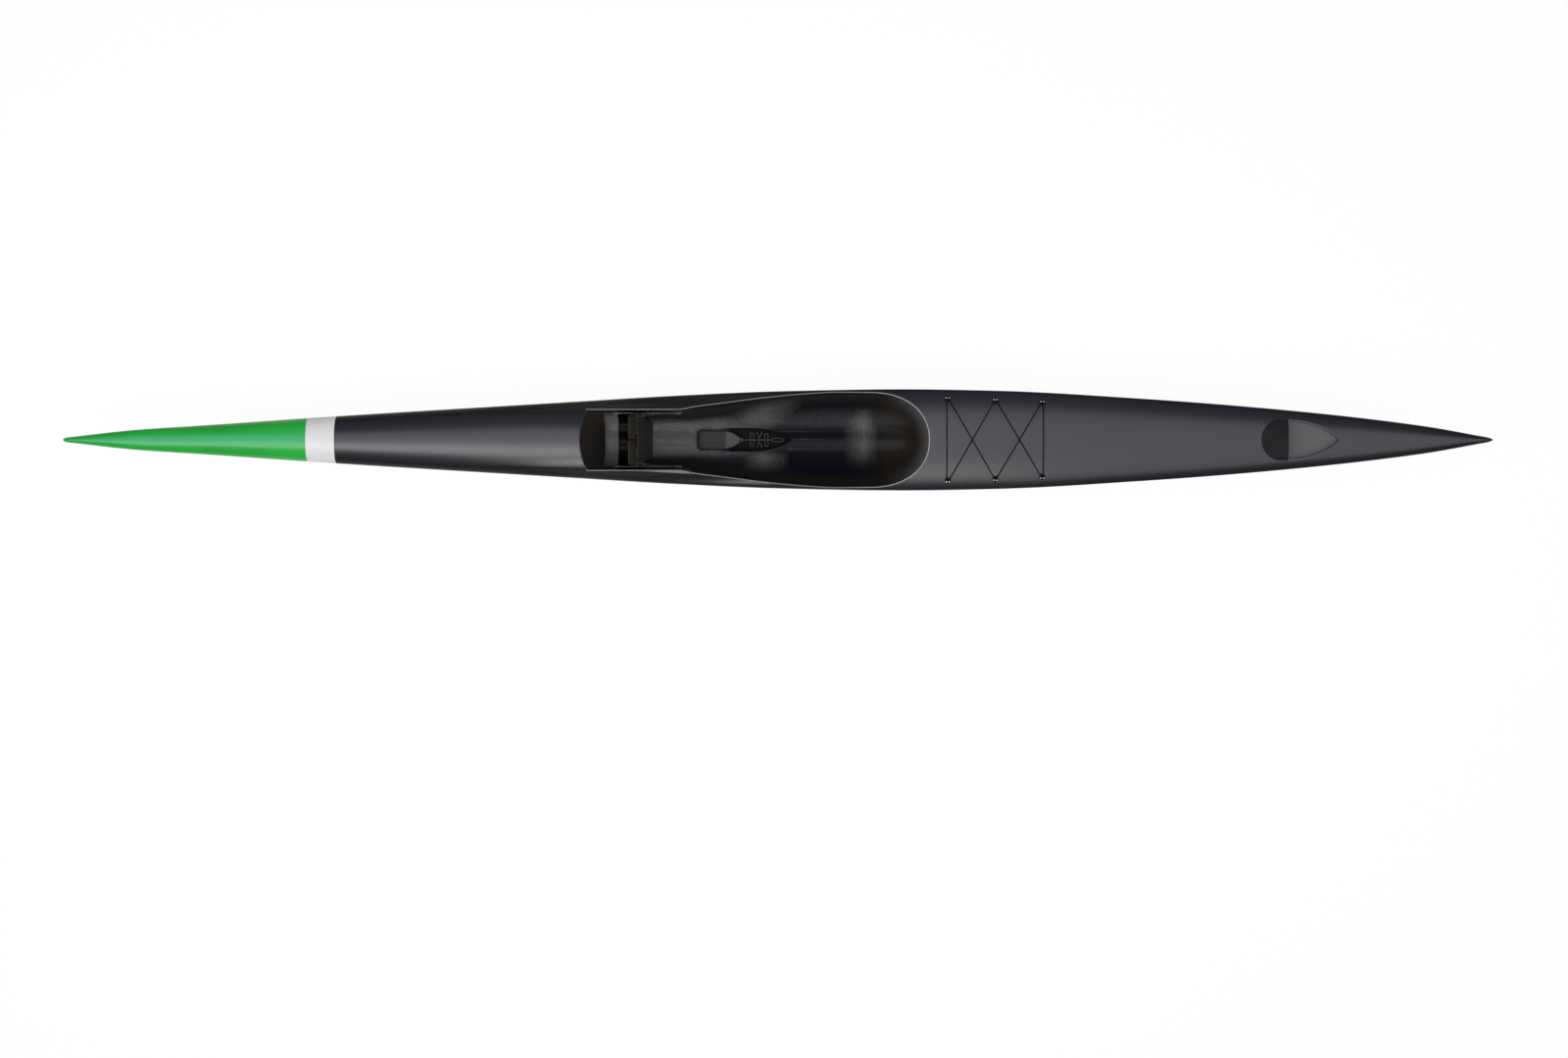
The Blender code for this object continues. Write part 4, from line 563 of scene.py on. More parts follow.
def connect(tree, socket, value):
    """Links an input to another node's output, or sets it to a plain value."""
    if isinstance(value, bpy.types.NodeSocket):
        tree.links.new(value, socket)
    else:
        socket.default_value = value


def opaque(value):
    """A plain colour with its alpha; a socket or a number as it is."""
    return (*value, 1) if isinstance(value, tuple) else value


def add(tree, kind, wires=None, **settings):
    """Adds a shader node; a wire is a socket to link from or a plain value."""
    made = tree.nodes.new(kind)
    for key, value in settings.items():
        setattr(made, key, value)
    for key, value in (wires or {}).items():
        connect(tree, made.inputs[key], value)
    return made


def math_node(tree, operation, *values):
    return add(tree, "ShaderNodeMath", dict(enumerate(values)), operation=operation).outputs[0]


def plus(tree, a, b):
    return math_node(tree, "ADD", a, b)


def minus(tree, a, b):
    return math_node(tree, "SUBTRACT", a, b)


def times(tree, a, b):
    return math_node(tree, "MULTIPLY", a, b)


def larger(tree, a, b):
    return math_node(tree, "MAXIMUM", a, b)


def mix_value(tree, factor, a, b):
    """Between two numbers."""
    return add(tree, "ShaderNodeMix", {"Factor": factor, 2: a, 3: b}, data_type="FLOAT").outputs[0]


def blend_colour(tree, factor, a, b):
    """Between two colours."""
    wires = {"Factor": factor, 6: opaque(a), 7: opaque(b)}
    return add(tree, "ShaderNodeMix", wires, data_type="RGBA").outputs[2]


def ramp(tree, value, low, high, out_low=0.0, out_high=1.0):
    """Maps a range onto another, held at both ends."""
    wires = {"Value": value, "From Min": low, "From Max": high, "To Min": out_low, "To Max": out_high}
    return add(tree, "ShaderNodeMapRange", wires).outputs[0]


def window(tree, value, rise, fall, after=0.0):
    """Rises to 1 over one range and falls to a last level over a later one."""
    return times(tree, ramp(tree, value, *rise), ramp(tree, value, *fall, 1.0, after))


def axes(tree, vector):
    return add(tree, "ShaderNodeSeparateXYZ", {0: vector}).outputs


def noise(tree, vector, scale, detail):
    return add(tree, "ShaderNodeTexNoise", {"Vector": vector, "Scale": scale, "Detail": detail}).outputs[0]


def bump(tree, height, strength, distance):
    wires = {"Height": height, "Strength": strength, "Distance": distance}
    return add(tree, "ShaderNodeBump", wires).outputs[0]


def point_lean(tree):
    """The lean that note_lean keeps on a piece's points."""
    return add(tree, "ShaderNodeAttribute", attribute_name="lean").outputs["Fac"]


def group(name, numbers, outputs):
    """An empty node group: a Vector and some numbers in, numbers out."""
    tree = bpy.data.node_groups.new(name, "ShaderNodeTree")
    tree.interface.new_socket(name="Vector", in_out="INPUT", socket_type="NodeSocketVector")
    for label, value in numbers.items():
        socket = tree.interface.new_socket(name=label, in_out="INPUT", socket_type="NodeSocketFloat")
        socket.default_value = value
    for label in outputs:
        tree.interface.new_socket(name=label, in_out="OUTPUT", socket_type="NodeSocketFloat")
    return tree, tree.nodes.new("NodeGroupInput").outputs, tree.nodes.new("NodeGroupOutput").inputs


def use(tree, made, wires):
    """Places a node group and gives its outputs."""
    return add(tree, "ShaderNodeGroup", wires, node_tree=made).outputs


def twill_group():
    """Two-by-two twill: tows cross at a pitch, each over two and under two, crowned across."""
    tree, given, out = group("twill_weave", {"Pitch": 0.003}, ("Warp", "Height"))
    parts = axes(tree, given["Vector"])
    u = math_node(tree, "DIVIDE", parts["X"], given["Pitch"])
    v = math_node(tree, "DIVIDE", parts["Y"], given["Pitch"])
    step = plus(tree, math_node(tree, "FLOOR", u), math_node(tree, "FLOOR", v))
    turn = math_node(tree, "FLOORED_MODULO", step, 4.0)
    warp = math_node(tree, "LESS_THAN", turn, 1.5)
    crowns = []
    for way in (u, v):
        away = minus(tree, math_node(tree, "FRACT", way), 0.5)
        crowns.append(minus(tree, 1.0, times(tree, times(tree, away, away), 4.0)))
    tree.links.new(warp, out["Warp"])
    tree.links.new(mix_value(tree, warp, crowns[1], crowns[0]), out["Height"])
    return tree


def wear_group():
    """Handling marks: broad smudges and fine scuffs from two sizes of noise."""
    tree, given, out = group("handling_wear", {"Broad": 6.0, "Fine": 90.0}, ("Smudge", "Scuff"))
    broad = noise(tree, given["Vector"], given["Broad"], 4.0)
    fine = noise(tree, given["Vector"], given["Fine"], 3.0)
    tree.links.new(ramp(tree, broad, 0.35, 0.7), out["Smudge"])
    tree.links.new(ramp(tree, fine, 0.55, 0.8), out["Scuff"])
    return tree


def grain_group():
    """Moulded grain: rounded bumps from a smooth cell pattern, and a broader noise for its shade."""
    tree, given, out = group("moulded_grain", {"Size": 0.0012}, ("Height", "Shade"))
    scale = math_node(tree, "DIVIDE", 1.0, given["Size"])
    wires = {"Vector": given["Vector"], "Scale": scale, "Smoothness": 0.6}
    cells = add(tree, "ShaderNodeTexVoronoi", wires, feature="SMOOTH_F1").outputs
    tree.links.new(cells["Distance"], out["Height"])
    tree.links.new(noise(tree, given["Vector"], 30.0, 5.0), out["Shade"])
    return tree


def braid_group():
    """Braided sheath: two sets of strands wound in opposite turns, crossing over each other."""
    tree, given, out = group("braided_sheath", {"Pitch": 0.006, "Strands": 6.0}, ("Height", "Over"))
    parts = axes(tree, given["Vector"])
    run = times(tree, math_node(tree, "DIVIDE", parts["X"], given["Pitch"]), 2 * PI)
    turn = times(tree, times(tree, parts["Y"], given["Strands"]), 2 * PI)
    left = math_node(tree, "SINE", plus(tree, run, turn))
    right = math_node(tree, "SINE", minus(tree, run, turn))
    tree.links.new(larger(tree, left, right), out["Height"])
    tree.links.new(math_node(tree, "GREATER_THAN", left, right), out["Over"])
    return tree


TWILL = twill_group()
WEAR = wear_group()
GRAIN = grain_group()
BRAID = braid_group()


def new_look(name):
    """A material with its shader, and the texture coordinates."""
    look = bpy.data.materials.new(name)
    look.use_nodes = True
    tree = look.node_tree
    shader = tree.nodes["Principled BSDF"]
    return look, tree, shader, add(tree, "ShaderNodeTexCoord").outputs


def feed(tree, shader, wires):
    for key, value in wires.items():
        connect(tree, shader.inputs[key], opaque(value))


def handled(tree, at, broad, fine):
    """Smudges and scuffs in the object's own coordinates."""
    return use(tree, WEAR, {"Vector": at["Object"], "Broad": broad, "Fine": fine})


# Finishes

GREEN = (0.009, 0.305, 0.031)
# Painted reflection: a bluish sheen for the green bow's level crown
GREEN_CROWN_SHEEN = (0.005, 0.300, 0.080)
GREEN_DEEP = (0.009, 0.262, 0.026)
WHITE = (0.520, 0.520, 0.540)

# Cockpit cloth tones: the laminate is one cloth, so the pale tone is painted highlight, the floor and wall
# tones by lean and station are painted light and shade, and CLOTH_SHADOW is painted shadow
CLOTH_PAINTED_HIGHLIGHT = (0.125, 0.124, 0.124)
CLOTH_FLOOR = (0.0030, 0.0038, 0.0066)
CLOTH_FLOOR_AFT = (0.0105, 0.0088, 0.0074)
CLOTH_WALL_FORE = (0.0240, 0.0200, 0.0178)
CLOTH_WALL = (0.0185, 0.0158, 0.0136)
CLOTH_WALL_AFT_PAINTED_LIGHT = (0.0720, 0.0690, 0.0680)
CLOTH_SHADOW = (0.0012, 0.0012, 0.0012)

# Painted highlight on the cockpit rim's edge: left out across the front, grey along the sides, palest round
# the back
RIM_FORE = (0.012, 0.013, 0.018)
RIM_SIDE = (0.105, 0.106, 0.112)
RIM_AFT = (0.270, 0.272, 0.280)


def paint(name, top, side, roughness, specular):
    """Sprayed finish: green bow and white band by station, then near black, duller down the sides; its tone
    also changes with lean, which is painted reflection.
    """
    look, tree, shader, at = new_look(name)
    x = axes(tree, at["Object"])["X"]
    lean = point_lean(tree)
    steep = ramp(tree, lean, 0.06, 0.34)
    wear = handled(tree, at, 3.0, 60.0)
    before_band = math_node(tree, "LESS_THAN", x, BAND_FORE)
    before_body = math_node(tree, "LESS_THAN", x, BAND_AFT)
    green = blend_colour(tree, wear["Smudge"], GREEN, GREEN_DEEP)
    # Painted reflection: the green turns bluish on the level crown
    green = blend_colour(tree, ramp(tree, lean, 0.004, 0.040), GREEN_CROWN_SHEEN, green)
    # Painted reflection: the near black is cooler on level faces, warmer and paler on steep ones
    body = blend_colour(tree, steep, top, side)
    colour = blend_colour(tree, before_body, body, blend_colour(tree, before_band, WHITE, green))
    rough = plus(tree, times(tree, before_body, 0.30 - roughness), roughness)
    rough = plus(tree, rough, times(tree, wear["Scuff"], 0.03))
    dull = times(tree, steep, minus(tree, 1.0, before_body))
    gloss = ramp(tree, dull, 0.0, 1.0, specular, 0.10)
    peel = noise(tree, at["Object"], 260.0, 1.0)
    feed(tree, shader, {
        "Base Color": colour, "Roughness": rough,
        "Specular IOR Level": minus(tree, gloss, times(tree, before_body, 0.22)),
        "Coat Weight": times(tree, before_band, 0.12), "Coat Roughness": 0.12,
        "Normal": bump(tree, peel, 0.012, 0.0002),
    })
    return look


def carbon(name, pitch, dark, light, roughness, coat, specular, depth):
    """Carbon twill under resin: warp and weft differ in tone and sheen, with cloudy variation."""
    look, tree, shader, at = new_look(name)
    weave = use(tree, TWILL, {"Vector": at["UV"], "Pitch": pitch})
    wear = handled(tree, at, 22.0, 140.0)
    tone = plus(tree, times(tree, weave["Warp"], 0.55), times(tree, wear["Smudge"], 0.45))
    rough = plus(tree, times(tree, weave["Warp"], 0.10), roughness)
    rough = plus(tree, rough, times(tree, wear["Scuff"], 0.08))
    feed(tree, shader, {
        "Base Color": blend_colour(tree, tone, dark, light), "Roughness": rough,
        "Specular IOR Level": specular, "Coat Weight": coat, "Coat Roughness": 0.10,
        "Normal": bump(tree, weave["Height"], 0.6, depth),
    })
    return look


def legs_painted_highlight(tree, x, y):
    """Painted highlight on the floor under the legs, from the footplate to the hips; it widens aft on the
    starboard side.
    """
    edge = minus(tree, y, times(tree, plus(tree, x, 0.5), 0.12))
    lengthwise = times(tree, ramp(tree, x, -0.30, -0.02, 0.46, 0.0), ramp(tree, x, -0.635, -0.625))
    port = ramp(tree, y, -0.084, -0.058, 0.12, 1.0)
    starboard = ramp(tree, edge, 0.072, 0.096, 1.0, 0.10)
    return times(tree, lengthwise, times(tree, port, starboard))


def seat_back_painted_sheen(tree, x, y):
    """A sheen across the back of the seat, stronger to starboard and faded at both sides."""
    across = plus(tree, ramp(tree, y, -0.120, -0.050, 0.15, 0.70), ramp(tree, y, 0.030, 0.060, 0.0, 0.30))
    across = times(tree, across, ramp(tree, y, 0.125, 0.165, 1.0, 0.15))
    return times(tree, window(tree, x, (0.275, 0.37), (0.370, 0.440), 0.03), times(tree, across, 0.66))


def floor_painted_highlights(tree, x, y):
    """A faint painted highlight on the centreline ridge and a stronger one on the starboard flank, all along
    the floor.
    """
    ridge = times(tree, ramp(tree, y, -0.062, -0.045), ramp(tree, y, -0.004, 0.004, 0.07, 0.0))
    flank = ramp(tree, y, 0.050, 0.075, 0.01, 0.24)
    return times(tree, ramp(tree, x, -0.70, -0.60), larger(tree, ridge, flank))


def hips_painted_sheen(tree, x, y):
    """Painted sheen in soft wedges where the floor turns up into the sides before the seat."""
    wedge = minus(tree, y, times(tree, plus(tree, x, 0.26), 0.40))
    starboard = times(tree, window(tree, x, (-0.300, -0.130), (-0.070, 0.090)), ramp(tree, y, 0.045, 0.085))
    starboard = times(tree, starboard, ramp(tree, wedge, 0.060, 0.120, 1.0, 0.0))
    port = window(tree, times(tree, y, -1.0), (0.040, 0.075), (0.095, 0.150))
    port = times(tree, window(tree, x, (-0.190, -0.085), (-0.085, 0.035)), port)
    return larger(tree, times(tree, starboard, 0.52), times(tree, port, 0.62))


def cockpit_cloth():
    """Bare twill laminate, near black, with painted highlights and sheen, flecked by the weave, on the legs'
    floor, toes, hips and seat back, and tones by lean and station that are painted light and shade.
    """
    look, tree, shader, at = new_look("tub_carbon_painted_light")
    spot = axes(tree, at["Object"])
    x, y = spot["X"], spot["Y"]
    lean = point_lean(tree)
    weave = use(tree, TWILL, {"Vector": at["UV"], "Pitch": 3.2 * MM})
    wear = handled(tree, at, 14.0, 150.0)
    fleck = noise(tree, at["Object"], 170.0, 3.0)

    # Painted highlights and sheen on the level floor, and on the sides at the toes and hips
    back = seat_back_painted_sheen(tree, x, y)
    level = larger(tree, legs_painted_highlight(tree, x, y), larger(tree, floor_painted_highlights(tree, x, y), back))
    level = times(tree, level, ramp(tree, lean, 0.05, 0.30, 1.0, 0.0))
    toes = window(tree, x, (-0.812, -0.806), (-0.752, -0.748))
    sides = larger(tree, toes, hips_painted_sheen(tree, x, y))
    sides = times(tree, sides, ramp(tree, lean, 0.45, 0.80, 1.0, 0.0))
    grain = plus(tree, times(tree, weave["Warp"], 0.42), times(tree, ramp(tree, fleck, 0.42, 0.58), 0.58))
    # pale holds the painted highlight, flecked by the weave
    pale = times(tree, larger(tree, level, sides), ramp(tree, grain, 0.0, 1.0, 0.22, 1.52))

    # The dark cloth, in tones that are painted light and shade: cool on the floor, warmer up the walls and
    # aft, a painted light wash up the aft wall, and painted shadow at the footplate
    wall = ramp(tree, lean, 0.25, 0.60)
    floor = blend_colour(tree, ramp(tree, x, 0.40, 0.47), CLOTH_FLOOR, CLOTH_FLOOR_AFT)
    side = blend_colour(tree, ramp(tree, x, -0.800, -0.760), CLOTH_WALL_FORE, CLOTH_WALL)
    side = blend_colour(tree, ramp(tree, x, 0.46, 0.61), side, CLOTH_WALL_AFT_PAINTED_LIGHT)
    dark = blend_colour(tree, wall, floor, side)
    # Painted shadow: the cloth goes near black under the footplate
    plate_shadow = times(tree, math_node(tree, "GREATER_THAN", x, -0.75), math_node(tree, "LESS_THAN", x, -0.62))
    dark = blend_colour(tree, plate_shadow, dark, CLOTH_SHADOW)
    seat = times(tree, ramp(tree, x, -0.12, -0.03), minus(tree, 1.0, back))
    matt = larger(tree, larger(tree, wall, plate_shadow), seat)
    feed(tree, shader, {
        "Base Color": blend_colour(tree, pale, dark, CLOTH_PAINTED_HIGHLIGHT),
        "Roughness": plus(tree, times(tree, weave["Warp"], 0.10), 0.40),
        "Specular IOR Level": ramp(tree, matt, 0.0, 1.0, 0.22, 0.02),
        "Coat Weight": 0.05, "Coat Roughness": 0.10,
        "Normal": bump(tree, plus(tree, weave["Height"], wear["Scuff"]), 0.8, 0.0005),
    })
    return look


def cockpit_rim():
    """The rim's edge as a painted highlight: dark across the front, grey along the sides, palest round the
    back.
    """
    look, tree, shader, at = new_look("rim_painted_highlight")
    x = axes(tree, at["Object"])["X"]
    side = blend_colour(tree, ramp(tree, x, -0.880, -0.872), RIM_FORE, RIM_SIDE)
    wear = handled(tree, at, 8.0, 120.0)
    feed(tree, shader, {
        "Base Color": blend_colour(tree, ramp(tree, x, 0.30, 0.60), side, RIM_AFT),
        "Roughness": plus(tree, times(tree, wear["Scuff"], 0.10), 0.30),
    })
    return look


def moulded(name, colour, roughness, strength=0.25, worn=1.3, ribs=None, specular=0.4, tail=None):
    """Moulded plastic: fine grain, uneven tone, paler scuffs; ribs along an axis, or a tail colour aft of a
    station: the cover's own paler tail, and painted shade at the well's open end.
    """
    look, tree, shader, at = new_look(name)
    grain = use(tree, GRAIN, {"Vector": at["Object"], "Size": 1.2 * MM})
    wear = handled(tree, at, 18.0, 160.0)
    deep, high, scuffed = (tuple(c * level for c in colour) for level in (0.85, 1.15, worn))
    tone = blend_colour(tree, grain["Shade"], deep, high)
    tone = blend_colour(tree, times(tree, wear["Scuff"], 0.5), tone, scuffed)
    if tail:
        start, end, tail_colour_and_shade = tail
        tone = blend_colour(tree, ramp(tree, axes(tree, at["Object"])["X"], start, end), tone, tail_colour_and_shade)
    height, distance = grain["Height"], 0.0002
    if ribs:
        axis, pitch = ribs
        wave = math_node(tree, "SINE", times(tree, axes(tree, at["Object"])[axis], 2 * PI / pitch))
        height, distance = plus(tree, times(tree, wave, 2.0), height), 0.0004
    feed(tree, shader, {
        "Base Color": tone, "Roughness": plus(tree, roughness, times(tree, wear["Smudge"], 0.08)),
        "Specular IOR Level": specular, "Normal": bump(tree, height, strength, distance),
    })
    return look


def metal(name, colour, roughness, metallic=1.0, stretch=(1, 1, 1)):
    """Drawn or anodised metal: fine lines along one way, and dull handling marks."""
    look, tree, shader, at = new_look(name)
    stretched = add(tree, "ShaderNodeMapping", {"Vector": at["Object"], "Scale": stretch}).outputs[0]
    lines = noise(tree, stretched, 400.0, 3.0)
    wear = handled(tree, at, 40.0, 300.0)
    rough = plus(tree, times(tree, lines, 0.14), roughness)
    feed(tree, shader, {
        "Base Color": blend_colour(tree, lines, tuple(c * 0.88 for c in colour), colour),
        "Metallic": metallic, "Roughness": plus(tree, rough, times(tree, wear["Smudge"], 0.06)),
        "Normal": bump(tree, lines, 0.15, 0.0001),
    })
    return look


def braided(name, dark, light, pitch, strands):
    """Woven sheath along a cord, the strands that run one way in a paler yarn."""
    look, tree, shader, at = new_look(name)
    braid = use(tree, BRAID, {"Vector": at["UV"], "Pitch": pitch, "Strands": strands})
    fuzz = noise(tree, at["Object"], 900.0, 2.0)
    feed(tree, shader, {
        "Base Color": blend_colour(tree, braid["Over"], dark, light),
        "Roughness": plus(tree, 0.8, times(tree, fuzz, 0.15)),
        "Specular IOR Level": 0.15, "Normal": bump(tree, braid["Height"], 0.7, 0.0004),
    })
    return look


# The two tones of each dark are painted reflection: the first on level faces, the second on steep ones
DECK_PAINT = paint("deck_paint", (0.0058, 0.0070, 0.0104), (0.0105, 0.0088, 0.0075), 0.26, 0.62)
HULL_PAINT = paint("hull_paint", (0.0150, 0.0144, 0.0140), (0.0170, 0.0152, 0.0138), 0.28, 0.40)
TUB_CARBON_PAINTED_LIGHT = cockpit_cloth()
RIM_HIGHLIGHT = cockpit_rim()
HOOD_CARBON = carbon(
    "hood_carbon", 3.4 * MM, (0.0026, 0.0027, 0.0034), (0.0160, 0.0160, 0.0185),
    roughness=0.50, coat=0.0, specular=0.18, depth=0.0006,
)
BLADE_CARBON = carbon(
    "blade_carbon", 2.4 * MM, (0.006, 0.006, 0.007), (0.012, 0.012, 0.013),
    roughness=0.22, coat=0.5, specular=0.4, depth=0.0001,
)
RECESS_PAINT = moulded("recess_paint", (0.080, 0.081, 0.087), 0.36, strength=0.08, worn=1.1)
PLATE_PLASTIC = moulded(
    "plate_plastic", (0.0215, 0.0185, 0.0155), 0.50, strength=0.4, ribs=("Y", 6 * MM), specular=0.25,
)
BLACK_PLASTIC = moulded("black_plastic", (0.0100, 0.0096, 0.0092), 0.42, specular=0.3)
EYE_PLASTIC = moulded("eye_plastic", (0.0030, 0.0030, 0.0036), 0.30, strength=0.1, specular=0.08)
# The well's tail colour is painted shade: the open end of the well goes near black
WELL_PLASTIC = moulded(
    "well_plastic", (0.0520, 0.0515, 0.0520), 0.55, specular=0.08,
    tail=(-0.290, -0.235, (0.0016, 0.0015, 0.0013)),
)
FRAME_PLASTIC = moulded("frame_plastic", (0.0450, 0.0450, 0.0465), 0.45, specular=0.25)
COVER_PLASTIC = moulded(
    "cover_plastic", (0.0200, 0.0200, 0.0210), 0.45, specular=0.20,
    tail=(-0.2606, -0.2604, (0.046, 0.046, 0.047)),
)
GREY_PLASTIC = moulded("grey_plastic", (0.060, 0.058, 0.055), 0.38)
STEEL = metal("stainless_steel", (0.62, 0.62, 0.63), 0.10, stretch=(1, 8, 8))
# Painted glint: half metal with a near-white base, so the diffuse part shows the screw heads as bright
# points
SCREW_GLINT = metal("screw_painted_glint", (0.88, 0.90, 0.95), 0.14, 0.45)
LEVER_METAL = metal("lever_metal", (0.055, 0.054, 0.052), 0.42, 0.5, stretch=(0.2, 6, 6))
RAIL_METAL = metal("anodised_rail", (0.022, 0.023, 0.028), 0.40, 0.3, stretch=(0.1, 6, 6))
CORD_LOOK = braided("bungee_sheath", (0.0030, 0.0030, 0.0034), (0.0075, 0.0075, 0.0085), 6 * MM, 4.0)
LINE_LOOK = braided("line_sheath", (0.022, 0.022, 0.023), (0.055, 0.055, 0.058), 4 * MM, 3.0)


# Hull and deck

def hull_piece():
    """Outer and inner skins as superellipses from the keel strip to each sheer."""
    x = stations(260)[:, None]
    angle = np.linspace(0, PI / 2, 44)[None, :]
    across, down = arc_share(angle, fullness_line(share(x)))

    def arc(inset):
        breadth = np.maximum(half_breadth(x) - inset, 0.5 * half_breadth(x))
        flat = np.minimum(KEEL_FLAT, 0.2 * breadth)
        deep = np.maximum(sheer_z(x) - keel_z(x) - inset, 0)
        y = flat + (breadth - flat) * across
        right = np.stack(np.broadcast_arrays(x, y, sheer_z(x) - deep * down), axis=-1)
        left = right[:, ::-1] * (1, -1, 1)
        return np.concatenate([left, right], axis=1)

    rings = np.concatenate([arc(0), arc(HULL_SKIN)[:, ::-1]], axis=1)
    piece = ring_loft("hull_surface", rings, HULL_PAINT, sharp=50)
    low = float(keel_z(RUDDER_X)) - 0.02
    hole = bore("stock_hole", (RUDDER_X, 0, low), (0, 0, 1), STOCK_HOLE_R, 0.05, 40)
    throat = prism("throat_hole", offset(throat_outline(), THROAT_GAP), -0.02, 0.02)
    cut(piece, [hole, throat])
    note_lean(piece)
    place(piece, "hull", ["hull_shell"])


def deck_piece():
    """Outer and inner skins over the crown, opened for the cockpit and the stern recess."""
    x = stations(300)[:, None]
    across, _ = arc_share(np.linspace(-PI / 2, PI / 2, 97)[None, :], DECK_FULLNESS)

    def arc(inset):
        breadth = np.maximum(half_breadth(x) - inset, 0.5 * half_breadth(x))
        outer = half_breadth(x) * across
        return np.stack(np.broadcast_arrays(x, breadth * across, deck_z(x, outer, inset) + SEAM), axis=-1)

    rings = np.concatenate([arc(0), arc(DECK_SKIN)[:, ::-1]], axis=1)
    piece = ring_loft("deck_surface", rings, DECK_PAINT, sharp=50)
    tools = [
        prism("cockpit_cut", offset(tub_edge()[0], RIM_WIDTH + SEAM), 0.1, 0.5),
        prism("recess_cut", offset(recess_outline(), RIM_WIDTH + SEAM), 0.1, 0.5),
    ]
    cut(piece, tools)
    note_lean(piece)
    place(piece, "hull", ["deck_shell"])


# Cockpit

def tub_grid():
    """The cockpit's inner face: a superelliptic trough whose power, width and depth change along it."""
    length = COCKPIT_AFT - COCKPIT_FRONT
    front = FRONT_RUN * np.linspace(0, 1, 22) ** 1.6
    back = length - BACK_RUN * np.linspace(1, 0, 60)[1:] ** 1.5
    between = TUB_ROWS - len(front) - len(back)
    middle = np.linspace(FRONT_RUN, length - BACK_RUN, between + 1)[1:]
    s = (np.concatenate([front, middle, back]) / length)[:, None]
    u = np.linspace(-1, 1, TUB_COLUMNS)[None, :]
    t = np.sign(u) * (1 - (1 - np.abs(u)) ** 1.35)
    power = FOOTWELL_POWER + (SEAT_POWER - FOOTWELL_POWER) * np.clip((s - 0.25) / 0.35, 0, 1)
    angle = PI / 2 * np.sign(t) * np.abs(t) ** (power / 2)
    across, down = arc_share(angle, power)
    fore = COCKPIT_FRONT + FRONT_SWEEP * across**2
    cap = (1 - np.abs(across) ** CAP_POWER) ** (1 / CAP_POWER)
    aft = COCKPIT_AFT - RIM_WIDTH - AFT_CAP * (1 - cap)
    x = fore + (aft - fore) * s
    side_fore = COCKPIT_FRONT + FRONT_SWEEP
    side_aft = COCKPIT_AFT - RIM_WIDTH - AFT_CAP
    y = across * (rim_line(side_fore + (side_aft - side_fore) * s) - RIM_WIDTH)
    deep = quarter(x - fore, FRONT_RUN, 1.35) * quarter(aft - x, BACK_RUN, 1.8) * down
    top = deck_z(x, y) + RIM_PROUD
    ridge = FLOOR_RIDGE * (0.5 + 0.5 * np.cos(PI * np.clip(np.abs(y) / RIDGE_HALF, 0, 1)))
    return np.stack([x, y, top - deep * (top - floor_line(x) - ridge)], axis=-1)


def border(rows, columns):
    """Indices of a grid's edge, once round."""
    edge = [(0, j) for j in range(columns)]
    edge += [(i, columns - 1) for i in range(1, rows)]
    edge += [(rows - 1, j) for j in range(columns - 2, -1, -1)]
    edge += [(i, 0) for i in range(rows - 2, 0, -1)]
    return np.array(edge)


def tub_edge():
    """The rim's inner edge: plan outline, heights, and its indices in the grid."""
    grid = tub_grid()
    edge = border(*grid.shape[:2])
    line = grid[edge[:, 0], edge[:, 1]]
    return line[:, :2], line[:, 2], edge, grid


def bead_rings(outline, height, width, depth, crown):
    """A half-round bead outside an outline, then down its outer side."""
    arrows = offset_arrows(outline)
    rings = []
    for t in np.linspace(0, PI, 9)[1:]:
        out = width / 2 * (1 - math.cos(t))
        rings.append(np.column_stack([outline + arrows * out, height + crown * math.sin(t)]))
    rings.append(np.column_stack([outline + arrows * width, height - depth]))
    return rings


